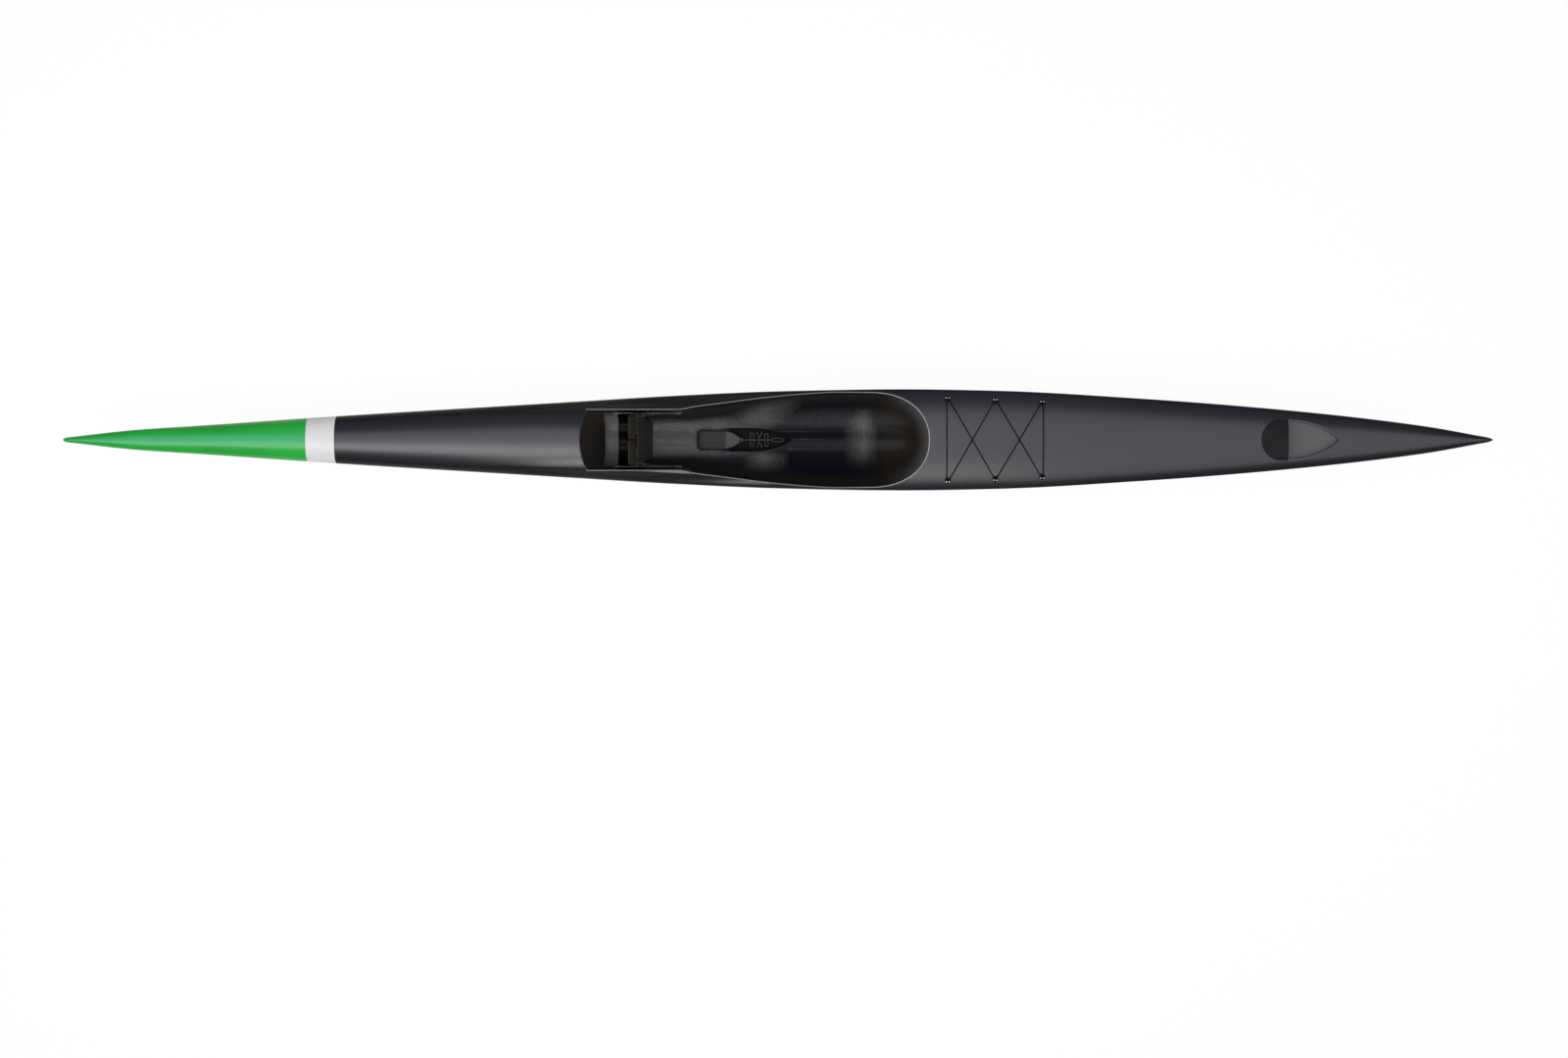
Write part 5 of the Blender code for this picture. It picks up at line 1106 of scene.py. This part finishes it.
def tub_piece():
    """The trough with an even wall under it and a rounded rim, opened for the well and the conduits."""
    outline, height, edge, grid = tub_edge()
    rows, columns = grid.shape[:2]
    normal = np.cross(np.gradient(grid, axis=0), np.gradient(grid, axis=1))
    normal /= np.maximum(np.linalg.norm(normal, axis=2), 1e-12)[..., None]
    under = grid - normal * TUB_SKIN
    under[edge[:, 0], edge[:, 1], :2] = outline + offset_arrows(outline) * TUB_SKIN
    under[edge[:, 0], edge[:, 1], 2] = height - RIM_DEPTH
    steps = np.linalg.norm(np.diff(grid, axis=1), axis=2)
    across = np.concatenate([np.zeros((rows, 1)), np.cumsum(steps, axis=1)], axis=1)
    across -= across[:, columns // 2][:, None]
    middle = grid[:, columns // 2]
    down = along(middle)[:, None] + np.zeros((rows, columns))
    uv = np.stack([across, down], axis=-1).reshape(-1, 2)
    below = rows * columns
    rings = bead_rings(outline, height, RIM_WIDTH, RIM_DEPTH, 0.9 * MM)
    points = np.concatenate([grid.reshape(-1, 3), under.reshape(-1, 3)] + rings)
    inside = quads(rows, columns)
    outside = [[k + below for k in face[::-1]] for face in inside]
    n = len(edge)
    loops = [edge[:, 0] * columns + edge[:, 1]]
    loops += [2 * below + k * n + np.arange(n) for k in range(len(rings))]
    loops.append(below + edge[:, 0] * columns + edge[:, 1])
    bead = []
    for a, b in zip(loops, loops[1:]):
        bead += np.stack([a, np.roll(a, -1), np.roll(b, -1), b], axis=1).tolist()
    uv = np.concatenate([uv, uv, np.zeros((n * len(rings), 2))])
    painted = 6 * n    # the six inner strips of the rim take its painted highlight, the outer ones the deck's paint
    face_look = [0] * (len(inside) + len(outside)) + [1] * painted + [2] * (len(bead) - painted)
    looks = [TUB_CARBON_PAINTED_LIGHT, RIM_HIGHLIGHT, DECK_PAINT]
    piece = body_mesh("cockpit_surface", points, inside + outside + bead, looks, uv, 50, face_look)
    tools = [prism("well_cut", offset(well_outline(), RIM_WIDTH + SEAM), WELL_FLOOR, 0.15)]
    for side, sign in SIDES:
        route = conduit_route()[:6] * (1, sign, 1)
        route[0] = route[0] * 2 - route[1]
        tools.append(ring_loft("conduit_hole_" + side, sweep(route, CONDUIT_HOLE_R, 24), []))
    cut(piece, tools)
    note_lean(piece)
    place(piece, "hull", ["cockpit_tub"])


def mirrored(side):
    """Closes a half outline, given from front to aft on starboard, over to port."""
    side = np.asarray(side)
    port = side[::-1][side[::-1, 1] > 1e-6] * (1, -1)
    return np.concatenate([side, port])


def recess_outline():
    """Round front end, then a leaf that narrows to a point aft."""
    angle = np.linspace(0, PI / 2, 40)
    nose_x = RECESS_FRONT + RECESS_SHOULDER * (1 - np.cos(angle))
    nose = np.column_stack([nose_x, RECESS_HALF * np.sin(angle)])
    t = 1 - np.linspace(1, 0, 61)[1:] ** 1.3
    leaf = np.column_stack([HOOD_AFT + (RECESS_AFT - HOOD_AFT) * t, RECESS_HALF * (1 - t**2.0) ** 0.82])
    bridge_x = np.linspace(nose[-1, 0], HOOD_AFT, 8)[1:]
    bridge = np.column_stack([bridge_x, np.full(7, RECESS_HALF)])
    return mirrored(np.concatenate([nose, bridge, leaf]))


def well_outline():
    """Square front with round corners, and a pointed oval aft."""
    angle = np.linspace(0, PI / 2, 14)
    nose_x = WELL_FRONT + WELL_NOSE * (1 - np.cos(angle))
    nose = np.column_stack([nose_x, WELL_HALF - WELL_NOSE * (1 - np.sin(angle))])
    oval = WELL_FRONT + 0.55 * (WELL_AFT - WELL_FRONT)
    t = 1 - np.linspace(1, 0, 50) ** 1.3
    leaf = np.column_stack([oval + (WELL_AFT - oval) * t, WELL_HALF * (1 - t**2.1) ** 0.75])
    bridge_x = np.linspace(nose[-1, 0], oval, 24)[1:-1]
    bridge = np.column_stack([bridge_x, np.full(22, WELL_HALF)])
    front = np.array([[WELL_FRONT, 0]])
    return mirrored(np.concatenate([front, nose, bridge, leaf]))


def throat_outline():
    """The opening under the bailer's chute: a strip that narrows aft."""
    side = np.array([(-0.368, 0), (-0.368, 0.020), (-0.261, 0.020), (-0.203, 0.007), (-0.203, 0)])
    return offset(mirrored(side), 0.8 * MM)


def cup_piece(name, outline, rim, floor, depth, fillet, look):
    """A tray with a filleted floor, an upright wall and a rounded rim bead."""
    height = rim(outline[:, 0], outline[:, 1])
    arrows = offset_arrows(outline)
    rings = []
    for a in np.linspace(0, PI / 2, 7):
        inward = -fillet * (1 - math.sin(a))
        level = floor + fillet * (1 - math.cos(a))
        rings.append(np.column_stack([outline + arrows * inward, np.full(len(outline), level)]))
    rings.append(np.column_stack([outline, height]))
    rings += bead_rings(outline, height, RIM_WIDTH, depth, 0.8 * MM)
    outer = outline + arrows * TRAY_SKIN
    rings.append(np.column_stack([outer, height - depth]))
    rings.append(np.column_stack([outer, np.full(len(outline), floor - TRAY_SKIN)]))
    return ring_loft(name, np.stack(rings), look, sharp=50)


def sheet(name, top, low, look):
    """A closed plate between two grids of points, its UV map in metres in plan."""
    rows, columns = top.shape[:2]
    below = rows * columns
    upper = quads(rows, columns)
    under = [[k + below for k in face[::-1]] for face in upper]
    edge = border(rows, columns)
    a = edge[:, 0] * columns + edge[:, 1]
    sides = np.stack([a, np.roll(a, -1), np.roll(a, -1) + below, a + below], axis=1).tolist()
    uv = top[..., :2].reshape(-1, 2)
    points = np.concatenate([top.reshape(-1, 3), low.reshape(-1, 3)])
    return body_mesh(name, points, upper + under + sides, look, np.concatenate([uv, uv]), 40)


def recess_and_hood():
    """The recess in the after deck, and the D-shaped skin over its front, which rises aft by a power."""

    def rim(x, y):
        return deck_z(x, y) + RIM_PROUD

    tray = cup_piece("recess_surface", recess_outline(), rim, RECESS_FLOOR, RIM_DEPTH, 4 * MM, RECESS_PAINT)
    tools = [bore("bush_hole", (RUDDER_X, 0, RECESS_FLOOR - 0.01), (0, 0, 1), BUSH_HOLE_R, 0.02, 32)]
    for side, sign in SIDES:
        start = (RECESS_FRONT - 0.02, sign * YOKE_ARM, YOKE_Z)
        tools.append(bore("line_hole_" + side, start, (1, 0, 0), LINE_HOLE_R, 0.06, 20))
    cut(tray, tools)
    place(tray, "hull", ["stern_recess"])

    v = np.linspace(-1, 1, 81)[:, None]
    u = np.linspace(0, 1, 45)[None, :]
    y = (RECESS_HALF + RIM_WIDTH) * v + 0 * u
    nose = RECESS_FRONT - RIM_WIDTH + RECESS_SHOULDER * (1 - np.sqrt(1 - 0.98 * v * v))
    x = nose + (HOOD_AFT - nose) * u
    base = deck_z(x, y) + RIM_PROUD + SEAM
    lift = HOOD_RISE * np.where(u > 0, u, 0) ** 0.8 * (1 - np.abs(v) ** 3)
    top = np.stack([x, y, base + HOOD_SKIN + lift], axis=-1)
    low = np.stack([x, y, base + lift], axis=-1)
    hood = sheet("hood_surface", top, low, HOOD_CARBON)
    round_over(hood, 0.8 * MM, 2, 50)
    place(hood, "hull", ["stern_hood"])


# Rudder and its lines

def blade_piece():
    """Swept elliptical foil; every section is a symmetric four-digit profile."""
    root = float(keel_z(RUDDER_X - BLADE_AHEAD)) - 3 * MM
    t = np.sin(np.linspace(0, 1, 44) * PI / 2)[:, None]
    depth = BLADE_DEPTH * t
    chord = BLADE_CHORD * np.sqrt(np.maximum(1 - t**2.2, 0.0012))
    front = RUDDER_X - BLADE_AHEAD + 0.40 * depth + 1.8 * depth**2
    angle = np.linspace(0, 2 * PI, 72, endpoint=False)[None, :]
    c = (1 + np.cos(angle)) / 2
    thick = 0.2969 * np.sqrt(c) - 0.126 * c - 0.3516 * c**2 + 0.2843 * c**3 - 0.1015 * c**4
    y = 5 * BLADE_THICKNESS * chord * (thick + 0.01) * np.where(np.sin(angle) >= 0, 1, -1)
    rings = np.stack(np.broadcast_arrays(front + chord * c, y, root - depth), axis=-1)
    uv = rings[..., (0, 2)].reshape(-1, 2)
    piece = ring_loft("blade_surface", rings, BLADE_CARBON, uv, 50)
    place(piece, "rudder", ["rudder_blade"])
    return root


def wall_y(x, z):
    """Half width of the cockpit's inner face at a station and a height, read off its grid."""
    grid = tub_grid()
    half = grid[:, TUB_COLUMNS // 2:]
    widths = np.array([np.interp(z, row[:, 2], row[:, 1]) for row in half])
    places = np.array([np.interp(w, row[:, 1], row[:, 0]) for w, row in zip(widths, half)])
    return float(np.interp(x, places, widths))


def conduit_route():
    """Starboard side: from the cockpit wall, outside the seat, to the stern recess."""
    mouth_x, mouth_z = CONDUIT_MOUTH
    mouth = (mouth_x, wall_y(mouth_x, mouth_z) - 5 * MM, mouth_z)
    chosen = (
        mouth, (-0.360, 0.163, 0.187), (-0.200, 0.183, 0.150), (0.000, 0.178, 0.105), (0.250, 0.166, 0.080),
        (0.500, 0.160, 0.078), (1.000, 0.146, 0.100), (1.600, 0.100, 0.150),
        (RECESS_FRONT - 0.117, 0.048, YOKE_Z - 4 * MM), (RECESS_FRONT - 9 * MM, YOKE_ARM, YOKE_Z),
    )
    return smooth_route(chosen, 90)


def lean_point(y, up, out=0.0):
    """A point on the leaning footplate: up its slope from the hinge, and out towards the seat."""
    sine, cosine = math.sin(PLATE_LEAN), math.cos(PLATE_LEAN)
    return np.array((HINGE_X - up * sine + out * cosine, y, HINGE_Z + up * cosine + out * sine))


def rudder_lines():
    """Each line in four lengths: pedal, footwell, conduit and yoke; only the conduit's length rides on the
    hull, the others stay where they are drawn.
    """
    for side, sign in SIDES:
        route = conduit_route()
        knot = lean_point(LINE_OUT, LINE_UP, -LINE_THROUGH)
        hole = lean_point(LINE_OUT, LINE_UP, LINE_THROUGH)
        lead = smooth_route([knot, hole, (-0.560, 0.116, 0.236), route[0], route[1]], 60)
        split = 18    # the point of the lead where the pedal's length ends
        tail = np.linspace(route[-1], (RUDDER_X - 8 * MM, YOKE_ARM, YOKE_Z), 16)
        parts = (
            ("pedal", lead[:split + 1], ("pedal_" + side, "foot_carriage"), (lead[6], lead[split])),
            ("footwell", lead[split:-1], ("foot_carriage", "hull"), (lead[split], lead[-3])),
            ("conduit", route, None, None),
            ("yoke", tail, ("hull", "rudder"), (tail[0], tail[-1])),
        )
        for label, path, bodies, ends in parts:
            piece = cord(f"rudder_line_{label}_{side}", path * (1, sign, 1), LINE_R, LINE_LOOK, 12)
            if label == "conduit":
                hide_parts("rudder_line_" + side)
            if bodies:
                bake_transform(piece)
            else:
                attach(piece, "hull")
        point = knot * (1, sign, 1)
        way = (hole - knot) * (1, sign, 1)
        profile = np.array(((-4, 0.6), (-3.4, 2.0), (-1.8, 2.9), (0.4, 2.8), (1.8, 1.8))) * MM
        place(lathe("line_knot_" + side, point, way, profile, LINE_LOOK, 24), "pedal_" + side)


def dome(radius, height):
    """Profile of a shallow dome: (distance, radius) from its edge to its top."""
    angle = np.linspace(0, PI / 2 * 0.97, 7)
    return [(height * math.sin(a), radius * math.cos(a)) for a in angle]


def rudder_gear(root):
    """Stock and screw turned from (distance, radius) steps; yoke, tube and bushes softened."""
    top = YOKE_Z + 3.5 * MM - SEAM
    tall = top - root + STOCK_BELOW
    steps = ((0, 4.2 * MM), (0.8 * MM, STOCK_R), (tall - 1 * MM, STOCK_R), (tall, 4.4 * MM))
    stock = lathe("stock_surface", (RUDDER_X, 0, root - STOCK_BELOW), (0, 0, 1), steps, STEEL)
    place(stock, "rudder", ["rudder_stock"])
    socket_head = np.array((
        (0, 2.4), (11.1, 2.5), (11.1, 6.6), (11.6, 7), (13.6, 7), (14.8, 6.0), (15.0, 3.6), (12.6, 3.4),
        (12.6, 0.4),
    )) * MM
    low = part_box("yoke_screw")[0].z
    screw = lathe("yoke_screw_surface", (RUDDER_X, 0, low), (0, 0, 1), socket_head, STEEL)
    place(screw, "rudder", ["yoke_screw"])
    softened("tiller_yoke", "yoke_surface", BLACK_PLASTIC, 1.2 * MM, "rudder")
    softened("rudder_tube", "rudder_tube_surface", GREY_PLASTIC, 0.4 * MM, "hull", 2)
    for node in ("lower_bush", "upper_bush"):
        softened(node, node + "_surface", BLACK_PLASTIC, 0.4 * MM, "hull", 2)


# Deck eyes and bungee

def deck_eye(tag, x, y):
    """A low round boss, a wire-like superelliptic arch over the cord, and two domed screws."""
    up = deck_normal(np.array(x), np.array(y))
    foot = np.array((x, y, float(deck_z(np.array(x), np.array(y))) + SEAM)) + up * SEAM
    side = np.array((0.0, 1.0, 0.0)) - up * up[1]
    side /= np.linalg.norm(side)
    ahead = np.cross(side, up)

    def at(a, b, c):
        return foot + ahead * a + side * b + up * c

    boss = [(0, EYE_R - 0.5 * MM), (0.5 * MM, EYE_R)]
    boss += [(0.6 * MM + 2.5 * MM * math.sin(a), EYE_R * math.cos(a)) for a in np.linspace(0.08, 1.5, 12)]
    base = lathe("eye_base_" + tag, foot, up, boss, EYE_PLASTIC, 48, sharp=60)
    place(base, "hull", ["deck_eye_" + tag])
    top = EYE_BASE + 2 * CORD_R + 2 * ARCH_GAP + 1.3 * MM
    t = np.linspace(0, PI, 25)
    across = -ARCH_HALF * np.sign(np.cos(t)) * np.abs(np.cos(t)) ** 0.55
    rise = 1.5 * MM + (top - 1.5 * MM) * np.sin(t) ** 0.55
    path = np.array([at(0, b, c) for b, c in zip(across, rise)])
    radius = ARCH_R + 0.5 * MM * np.abs(np.cos(t)) ** 3
    arch = ring_loft("eye_arch_" + tag, sweep(path, radius, 18), EYE_PLASTIC, sharp=60)
    place(arch, "hull")
    for end, name in ((-1, "fore"), (1, "aft")):
        centre = at(end * EYE_SCREW_AWAY, math.copysign(EYE_SCREW_OUT, y), EYE_BASE + SEAM)
        head = [(-2.4 * MM, 0.9 * MM), (0, 0.9 * MM), (0, EYE_SCREW_R)]
        head += [(0.3 * MM + h, r) for h, r in dome(EYE_SCREW_R, 1.0 * MM)]
        screw = lathe(f"eye_screw_{tag}_{name}_head", centre, up, head, SCREW_GLINT, 24)
        place(screw, "hull", [f"eye_screw_{tag}_{name}"])


def bungee_piece():
    """One closed loop laced through the eyes over the crowned deck, legs joined by round bends."""
    order = ((0, -1), (1, 1), (2, -1), (2, 1), (1, -1), (0, 1))
    eyes = [np.array((EYES[i][0], sign * EYES[i][1])) for i, sign in order]
    under_arch = EYE_BASE + CORD_R + ARCH_GAP
    low = CORD_R + CORD_GAP

    def unit(v):
        return v / np.linalg.norm(v)

    corners = []
    for k, eye in enumerate(eyes):
        before, after = unit(eyes[k - 1] - eye), unit(eyes[(k + 1) % 6] - eye)
        inward = unit(before + after)
        half = math.acos(max(min(float(before @ after), 1), -1)) / 2
        turn = math.copysign(1, before[0] * after[1] - before[1] * after[0])
        angle = -turn * np.linspace(-1, 1, 15) * (PI / 2 - half)
        spoke = -inward
        cosine, sine = np.cos(angle), np.sin(angle)
        spokes = np.stack([spoke[0] * cosine - spoke[1] * sine, spoke[0] * sine + spoke[1] * cosine], axis=1)
        corners.append(eye + inward * CORD_BEND + spokes * CORD_BEND)
    plan, over = [], []
    spacing = 6 * MM
    for k in range(6):
        start, end = corners[k][-1], corners[(k + 1) % 6][0]
        leg = np.linspace(start, end, max(int(np.linalg.norm(end - start) / spacing), 4))[1:-1]
        plan += [corners[k], leg]
        over += [np.full(len(corners[k]), k in (0, 1)), np.full(len(leg), k in (0, 1))]
    plan, over = np.concatenate(plan), np.concatenate(over)
    near = np.min(np.linalg.norm(plan[:, None] - np.array(eyes)[None], axis=2), axis=1)
    t = np.clip((near - EYE_R - 1 * MM) / (10 * MM), 0, 1)
    height = under_arch + (low - under_arch) * t * t * (3 - 2 * t)
    hump = np.cos(np.clip(plan[:, 1] / CROSSING_HALF, -1, 1) * PI / 2) ** 2
    hump = hump * (np.abs(plan[:, 1]) < CROSSING_HALF) * over
    height = height + (2 * CORD_R + CORD_GAP) * hump
    x, y = plan[:, 0], plan[:, 1]
    path = np.stack([x, y, deck_z(x, y) + SEAM], axis=1) + deck_normal(x, y) * height[:, None]
    piece = cord("bungee_surface", path, CORD_R, CORD_LOOK, 14, closed=True)
    place(piece, "hull", ["deck_bungee"])


# Footwell

def footwell():
    """Rails, clamps, pedals, plungers and pins softened, and the rails' screws as domed heads."""
    for side, sign in SIDES:
        for node, name, look, width, body, slot, segments in (
            ("foot_rail_", "rail_surface_", RAIL_METAL, 0.5, "hull", "rail", 2),
            ("rail_clamp_", "clamp_surface_", BLACK_PLASTIC, 1.0, "foot_carriage", "black_plastic", 3),
            ("pedal_", "pedal_surface_", PLATE_PLASTIC, 1.2, "pedal_" + side, "black_plastic", 3),
            ("lock_plunger_", "plunger_surface_", STEEL, 0.4, "lock_" + side, "steel", 2),
            ("hinge_pin_", "hinge_pin_surface_", STEEL, 0.4, "foot_carriage", "steel", 2),
        ):
            softened(node + side, name + side, look, width * MM, body, segments)
        for end in ("fore", "aft"):
            node = f"rail_screw_{end}_{side}"
            low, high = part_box(node)
            inner = min(abs(low.y), abs(high.y))
            depth = abs(high.y - low.y)
            profile = [(depth, 1.9 * MM), (2.2 * MM, 2.0 * MM), (2.2 * MM, 4.1 * MM), (1.6 * MM, 4.2 * MM)]
            profile += [(1.3 * MM - h, r) for h, r in dome(4.1 * MM, 1.1 * MM)]
            start = ((low.x + high.x) / 2, sign * inner, (low.z + high.z) / 2)
            place(lathe(node + "_head", start, (0, sign, 0), profile, STEEL, 32), "hull", [node])
    softened("footplate", "footplate_surface", PLATE_PLASTIC, 1.6 * MM, "foot_carriage")


# Bailer

def cover_piece():
    """The panelled cover: a flat plate with a pointed tail, scored by cosine grooves into raised panels."""
    low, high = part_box("bailer_cover")
    x = np.linspace(low.x, high.x, 250)[:, None]
    t = np.clip((x - COVER_SHOULDER) / (high.x - COVER_SHOULDER), 0, 1)
    half = COVER_TAIL_HALF + (high.y - COVER_TAIL_HALF) * (1 - t**1.8)
    y = half * np.linspace(-1, 1, 125)[None, :]
    panels = (x < COVER_SHOULDER - 1 * MM) & (np.abs(y) < GROOVES_ALONG[-1])
    depth = np.zeros_like(x + y)
    for at, across in [(at, x) for at in GROOVES_ACROSS] + [(at, y) for at in GROOVES_ALONG]:
        away = np.clip(np.abs(across - at) / (1.3 * MM), 0, 1)
        depth = np.maximum(depth, GROOVE_DEPTH * np.cos(away * PI / 2) ** 2 * panels)
    inward = np.minimum(np.minimum(half - np.abs(y), x - low.x), high.x - x)
    depth = depth + GROOVE_DEPTH * (1 - quarter(inward, 1.4 * MM, 2))
    top = np.stack(np.broadcast_arrays(x, y, high.z - depth), axis=-1)
    under = np.stack(np.broadcast_arrays(x, y, low.z + 0 * y), axis=-1)
    place(sheet("bailer_cover_surface", top, under, COVER_PLASTIC), "hull", ["bailer_cover"])


def loop_path(x, half_x, half_y, z):
    """A long round-ended ring lying level across the centreline."""
    reach = half_y - half_x
    turn = np.linspace(0, PI, 13)
    far = np.column_stack([x + half_x * np.cos(turn), reach + half_x * np.sin(turn)])
    near = np.column_stack([x - half_x * np.cos(turn), -reach - half_x * np.sin(turn)])
    flat = np.concatenate([far, near])
    return np.column_stack([flat, np.full(len(flat), z)])


def lever_pieces():
    """The wire lever: its boss, rod, two cross loops, braces to either side and the looped handle."""
    z = LEVER_Z
    knee = LEVER_X + 0.081
    rod = np.array([(LEVER_X + run, 0, z) for run in (0, 0.05, 0.14)])
    handle = loop_path(LEVER_X + 0.163, 27 * MM, 28 * MM, z)
    handle[:, 1] *= 0.30
    parts = [
        ("rod", rod, LEVER_ROD_R, False),
        ("fore_loop", loop_path(LEVER_X + 0.048, 7 * MM, 32 * MM, z), LEVER_LOOP_R, True),
        ("aft_loop", loop_path(LEVER_X + 0.114, 7 * MM, 30 * MM, z), LEVER_LOOP_R, True),
        ("handle", handle, LEVER_BRACE_R, True),
    ]
    for side, sign in SIDES:
        brace = np.array([(knee + a * MM, b * MM, z) for a, b in ((-13, 37), (-2, 13), (2, 13), (13, 37))])
        parts.append(("brace_" + side, smooth_route(brace * (1, sign, 1), 24), LEVER_BRACE_R, False))
        arm = np.array([(LEVER_X + a * MM, sign * a * MM, z + 1 * MM) for a in (-8, 0, 8)])
        parts.append(("star_" + side, arm, LEVER_LOOP_R, False))
        stub = np.array([(knee, sign * a * MM, z) for a in (0, 7, 14)])
        parts.append(("stub_" + side, stub, LEVER_BRACE_R, False))
    steps = np.array(((0, 3.6), (0.6, 4.3), (11.4, 4.3), (12, 3.6))) * MM
    boss = lathe("lever_boss", (LEVER_X, -6 * MM, z), (0, 1, 0), steps, LEVER_METAL, 32)
    place(boss, "bailer_lever", ["bailer_lever"])
    for label, path, radius, closed in parts:
        place(cord("lever_" + label, path, radius, LEVER_METAL, 14, closed), "bailer_lever")


def bailer_pieces():
    """The well as a cup whose rim follows the floor's ridge, then frame, cover, chute, lever and pins."""

    def rim(x, y):
        return floor_line(x) + FLOOR_RIDGE * np.maximum(1 - np.abs(y) / RIDGE_HALF, 0) + 2.5 * MM

    well = cup_piece("well_surface", well_outline(), rim, WELL_FLOOR, 2 * MM, 5 * MM, WELL_PLASTIC)
    throat = offset(throat_outline(), THROAT_GAP)
    cut(well, [prism("well_throat", throat, WELL_FLOOR - 0.01, WELL_FLOOR + 0.002)])
    place(well, "hull", ["bailer_well"])
    softened("bailer_frame", "bailer_frame_surface", FRAME_PLASTIC, 0.8 * MM, "hull")
    cover_piece()
    softened("bailer_chute", "bailer_chute_surface", BLACK_PLASTIC, 0.8 * MM, "bailer_chute")
    lever_pieces()
    for node in ("chute_pin", "lever_pin"):
        softened(node, node + "_surface", STEEL, 0.3 * MM, "hull", 2)


def carried_over():
    """The line conduits keep their solids and take a material."""
    for side, _ in SIDES:
        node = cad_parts["line_conduit_" + side]
        node.data.materials.clear()
        node.data.materials.append(BLACK_PLASTIC)


hull_piece()
deck_piece()
tub_piece()
recess_and_hood()
blade_root = blade_piece()
rudder_gear(blade_root)
rudder_lines()
for number, (eye_x, eye_y) in enumerate(EYES, 1):
    deck_eye(f"port_{number}", eye_x, -eye_y)
    deck_eye(f"starboard_{number}", eye_x, eye_y)
bungee_piece()
footwell()
bailer_pieces()
carried_over()


# Stage, light and camera

def backdrop():
    """A pale floor that shows white to the camera and in gloss, and keeps a faint shadow."""
    look = bpy.data.materials.new("studio_floor")
    look.use_nodes = True
    tree = look.node_tree
    tree.nodes.clear()
    path = add(tree, "ShaderNodeLightPath").outputs
    seen = larger(tree, path["Is Glossy Ray"], path["Is Transmission Ray"])
    seen = larger(tree, path["Is Camera Ray"], seen)
    matt = add(tree, "ShaderNodeBsdfDiffuse", {"Color": (0.80, 0.80, 0.80, 1)}).outputs[0]
    white = add(tree, "ShaderNodeEmission", {"Color": (1, 1, 1, 1), "Strength": 1.04}).outputs[0]
    whiten = times(tree, seen, 0.9)
    mixed = add(tree, "ShaderNodeMixShader", {0: whiten, 1: matt, 2: white}).outputs[0]
    tree.links.new(mixed, add(tree, "ShaderNodeOutputMaterial").inputs["Surface"])
    z = cad_low.z - 4 * MM
    corners = [(x, y, z) for x, y in ((-30, -30), (30, -30), (30, 30), (-30, 30))]
    mesh = bpy.data.meshes.new("studio_floor")
    mesh.from_pydata(corners, [], [(0, 1, 2, 3)])
    mesh.materials.append(look)
    floor = bpy.data.objects.new("studio_floor", mesh)
    bpy.context.scene.collection.objects.link(floor)


def surroundings():
    """White behind the object; in gloss, dim at the horizon and paler overhead."""
    world = bpy.data.worlds.new("studio")
    world.use_nodes = True
    tree = world.node_tree
    tree.nodes.clear()
    path = add(tree, "ShaderNodeLightPath").outputs
    up = axes(tree, add(tree, "ShaderNodeTexCoord").outputs["Generated"])["Z"]
    gloss = ramp(tree, up, 0.0, 0.9, 0.10, 0.30)
    seen = larger(tree, path["Is Camera Ray"], path["Is Transmission Ray"])
    level = mix_value(tree, path["Is Glossy Ray"], 0.42, gloss)
    level = mix_value(tree, seen, level, 1.0)
    tint = blend_colour(tree, path["Is Glossy Ray"], (1.0, 1.0, 1.0), (0.90, 0.96, 1.12))
    sky = add(tree, "ShaderNodeBackground", {"Color": tint, "Strength": level})
    tree.links.new(sky.outputs[0], add(tree, "ShaderNodeOutputWorld").inputs["Surface"])
    bpy.context.scene.world = world


def softbox(name, place_at, aim, size, power, colour=(1, 1, 1)):
    """A rectangular panel lamp, its long side along the boat, turned to face a point."""
    lamp = bpy.data.lights.new(name, "AREA")
    lamp.shape = "RECTANGLE"
    lamp.size, lamp.size_y = size
    lamp.energy = power
    lamp.color = colour
    holder = bpy.data.objects.new(name, lamp)
    bpy.context.scene.collection.objects.link(holder)
    holder.location = place_at
    back = (Vector(place_at) - Vector(aim)).normalized()
    side = Vector((1, 0, 0))
    up = back.cross(side)
    holder.rotation_mode = "QUATERNION"
    holder.rotation_quaternion = Matrix((side, up, back)).transposed().to_quaternion()
    holder.visible_camera = False


def bare_lamp(place_at, power):
    """A small lamp high up, for points of light on polished metal."""
    lamp = bpy.data.lights.new("bare_lamp", "POINT")
    lamp.energy = power
    lamp.shadow_soft_size = 0.04
    holder = bpy.data.objects.new("bare_lamp", lamp)
    bpy.context.scene.collection.objects.link(holder)
    holder.location = place_at
    holder.visible_camera = False


def camera():
    """Straight above, ten metres over the deck; the lens shift sets the boat off the middle of the frame."""
    data = bpy.data.cameras.new("plan_view")
    data.lens = CAMERA_LENS
    data.sensor_width = 36.0
    data.shift_y = PHOTO_SHIFT / PHOTO_WIDTH
    data.clip_end = 100.0
    holder = bpy.data.objects.new("plan_view", data)
    holder.location = CAMERA_AT
    bpy.context.scene.collection.objects.link(holder)
    bpy.context.scene.camera = holder


backdrop()
surroundings()
WARM = (1.0, 0.975, 0.945)
softbox("ceiling_panel", (0, -0.50, 3.2), (0, -0.50, 0.25), (9.4, 2.7), 99)
softbox("key_fore", (-2.6, -0.80, 3.15), (-2.6, 0, 0.25), (4.2, 0.95), 40, WARM)
softbox("key_middle", (0.45, -0.95, 3.15), (0.45, 0, 0.25), (2.0, 0.70), 8, WARM)
softbox("key_side", (-0.60, -2.3, 2.9), (-0.43, -0.16, 0.25), (1.2, 1.2), 26, WARM)
bare_lamp((0.3, 0.45, 7.0), 45)
camera()
bpy.context.scene.view_settings.view_transform = "Standard"
